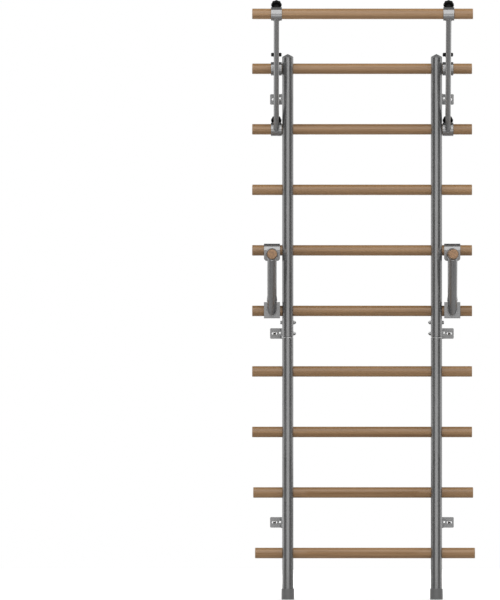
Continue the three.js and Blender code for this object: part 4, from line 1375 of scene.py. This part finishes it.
def add_lamp(name, azimuth, elevation, size, brightness):
    """A soft box that looks at the middle of the object, of a brightness in which 1 is white."""
    width, height = size
    lamp = bpy.data.lights.new(name, "AREA")
    lamp.shape = "RECTANGLE"
    lamp.size = width
    lamp.size_y = height
    lamp.energy = brightness * math.pi * width * height
    made = linked(lamp)
    around = math.radians(azimuth)
    up = math.radians(elevation)
    out = Vector((math.cos(up) * math.cos(around), math.cos(up) * math.sin(around), math.sin(up)))
    made.location = LIT_POINT + LAMP_DISTANCE * out
    made.rotation_euler = (-out).to_track_quat("-Z", "Y").to_euler()
    made.visible_camera = False
    return made


def add_flag(name, points, faces, shade):
    """A studio flag that shows only in reflections."""
    made, tone, surface = plain_shader(name)
    join(tone.tree, surface, tone.node("BsdfDiffuse", None, {"Color": grey(shade)}))
    mesh = bpy.data.meshes.new(name)
    mesh.from_pydata(points, [], faces)
    mesh.materials.append(made)
    flag = linked(mesh)
    for ray in ("camera", "diffuse", "transmission", "shadow"):
        setattr(flag, f"visible_{ray}", False)


def add_curved_flag(name, distance, azimuths, heights, shade=DARK_FLAG, centre=Vector()):
    """Part of a round wall about a place, between two azimuths and two heights."""
    points = arc(centre.x, centre.y, distance, *azimuths)
    count = len(points)
    faces = [(step, step + 1, count + step + 1, count + step) for step in range(count - 1)]
    low, high = heights
    add_flag(name, level(points, low) + level(points, high), faces, shade)


def add_level_flag(name, half, height, shade):
    add_flag(name, level(square(half), height), [(0, 1, 2, 3)], shade)


def add_camera():
    """A long lens, level with the middle of the object, for a view that is all but an elevation."""
    camera = bpy.data.cameras.new("camera")
    camera.lens = CAMERA_LENS
    camera.sensor_width = SENSOR_WIDTH
    camera.clip_end = CLIP_END
    made = linked(camera)
    distance = VIEW_HEIGHT * CAMERA_LENS / SENSOR_WIDTH
    made.location = (CAMERA_X, middle("rung_1").y - distance, CAMERA_Z)
    made.rotation_euler = (math.radians(90), 0, 0)
    bpy.context.scene.camera = made


add_floor()
add_world()
add_lamp("front_lamp", azimuth=-90, elevation=42, size=(8, 8.7), brightness=2.25)
for side, azimuth in {"right": 0, "left": 180}.items():
    add_lamp(f"{side}_lamp", azimuth, elevation=45, size=(8, 9), brightness=1.4)
for side, azimuth in {"right": 50, "left": 130}.items():
    add_lamp(f"{side}_back_lamp", azimuth, elevation=32, size=(3.5, 3), brightness=1.4)
back_fill = add_lamp("back_fill", azimuth=90, elevation=12, size=(6, 3), brightness=3)
back_fill.visible_glossy = False
for name, azimuths in FLAG_ARCS.items():
    add_curved_flag(f"{name}_flag", FLAG_DISTANCE, azimuths, FLAG_HEIGHTS)
for side in SIDES:
    post = middle(f"{side}_lower_upright")
    for name, azimuths in FLAG_ARCS.items():
        flag_name = f"{side}_post_{name}_flag"
        add_curved_flag(flag_name, POST_FLAG_DISTANCE, azimuths, POST_FLAG_HEIGHTS, POST_FLAG, post)
add_curved_flag("high_back_flag", HIGH_FLAG_DISTANCE, HIGH_BACK_ARC, HIGH_FLAG_HEIGHTS)
add_curved_flag("high_front_flag", HIGH_FLAG_DISTANCE, HIGH_FRONT_ARC, HIGH_FLAG_HEIGHTS, CEILING_FLAG)
add_level_flag("ceiling_flag", HIGH_FLAG_DISTANCE, CEILING, CEILING_FLAG)
add_level_flag("floor_flag", FLOOR_FLAG_HALF, FLOOR_FLAG_HEIGHT, FLOOR_FLAG)
add_camera()
bpy.context.scene.view_settings.view_transform = "Standard"
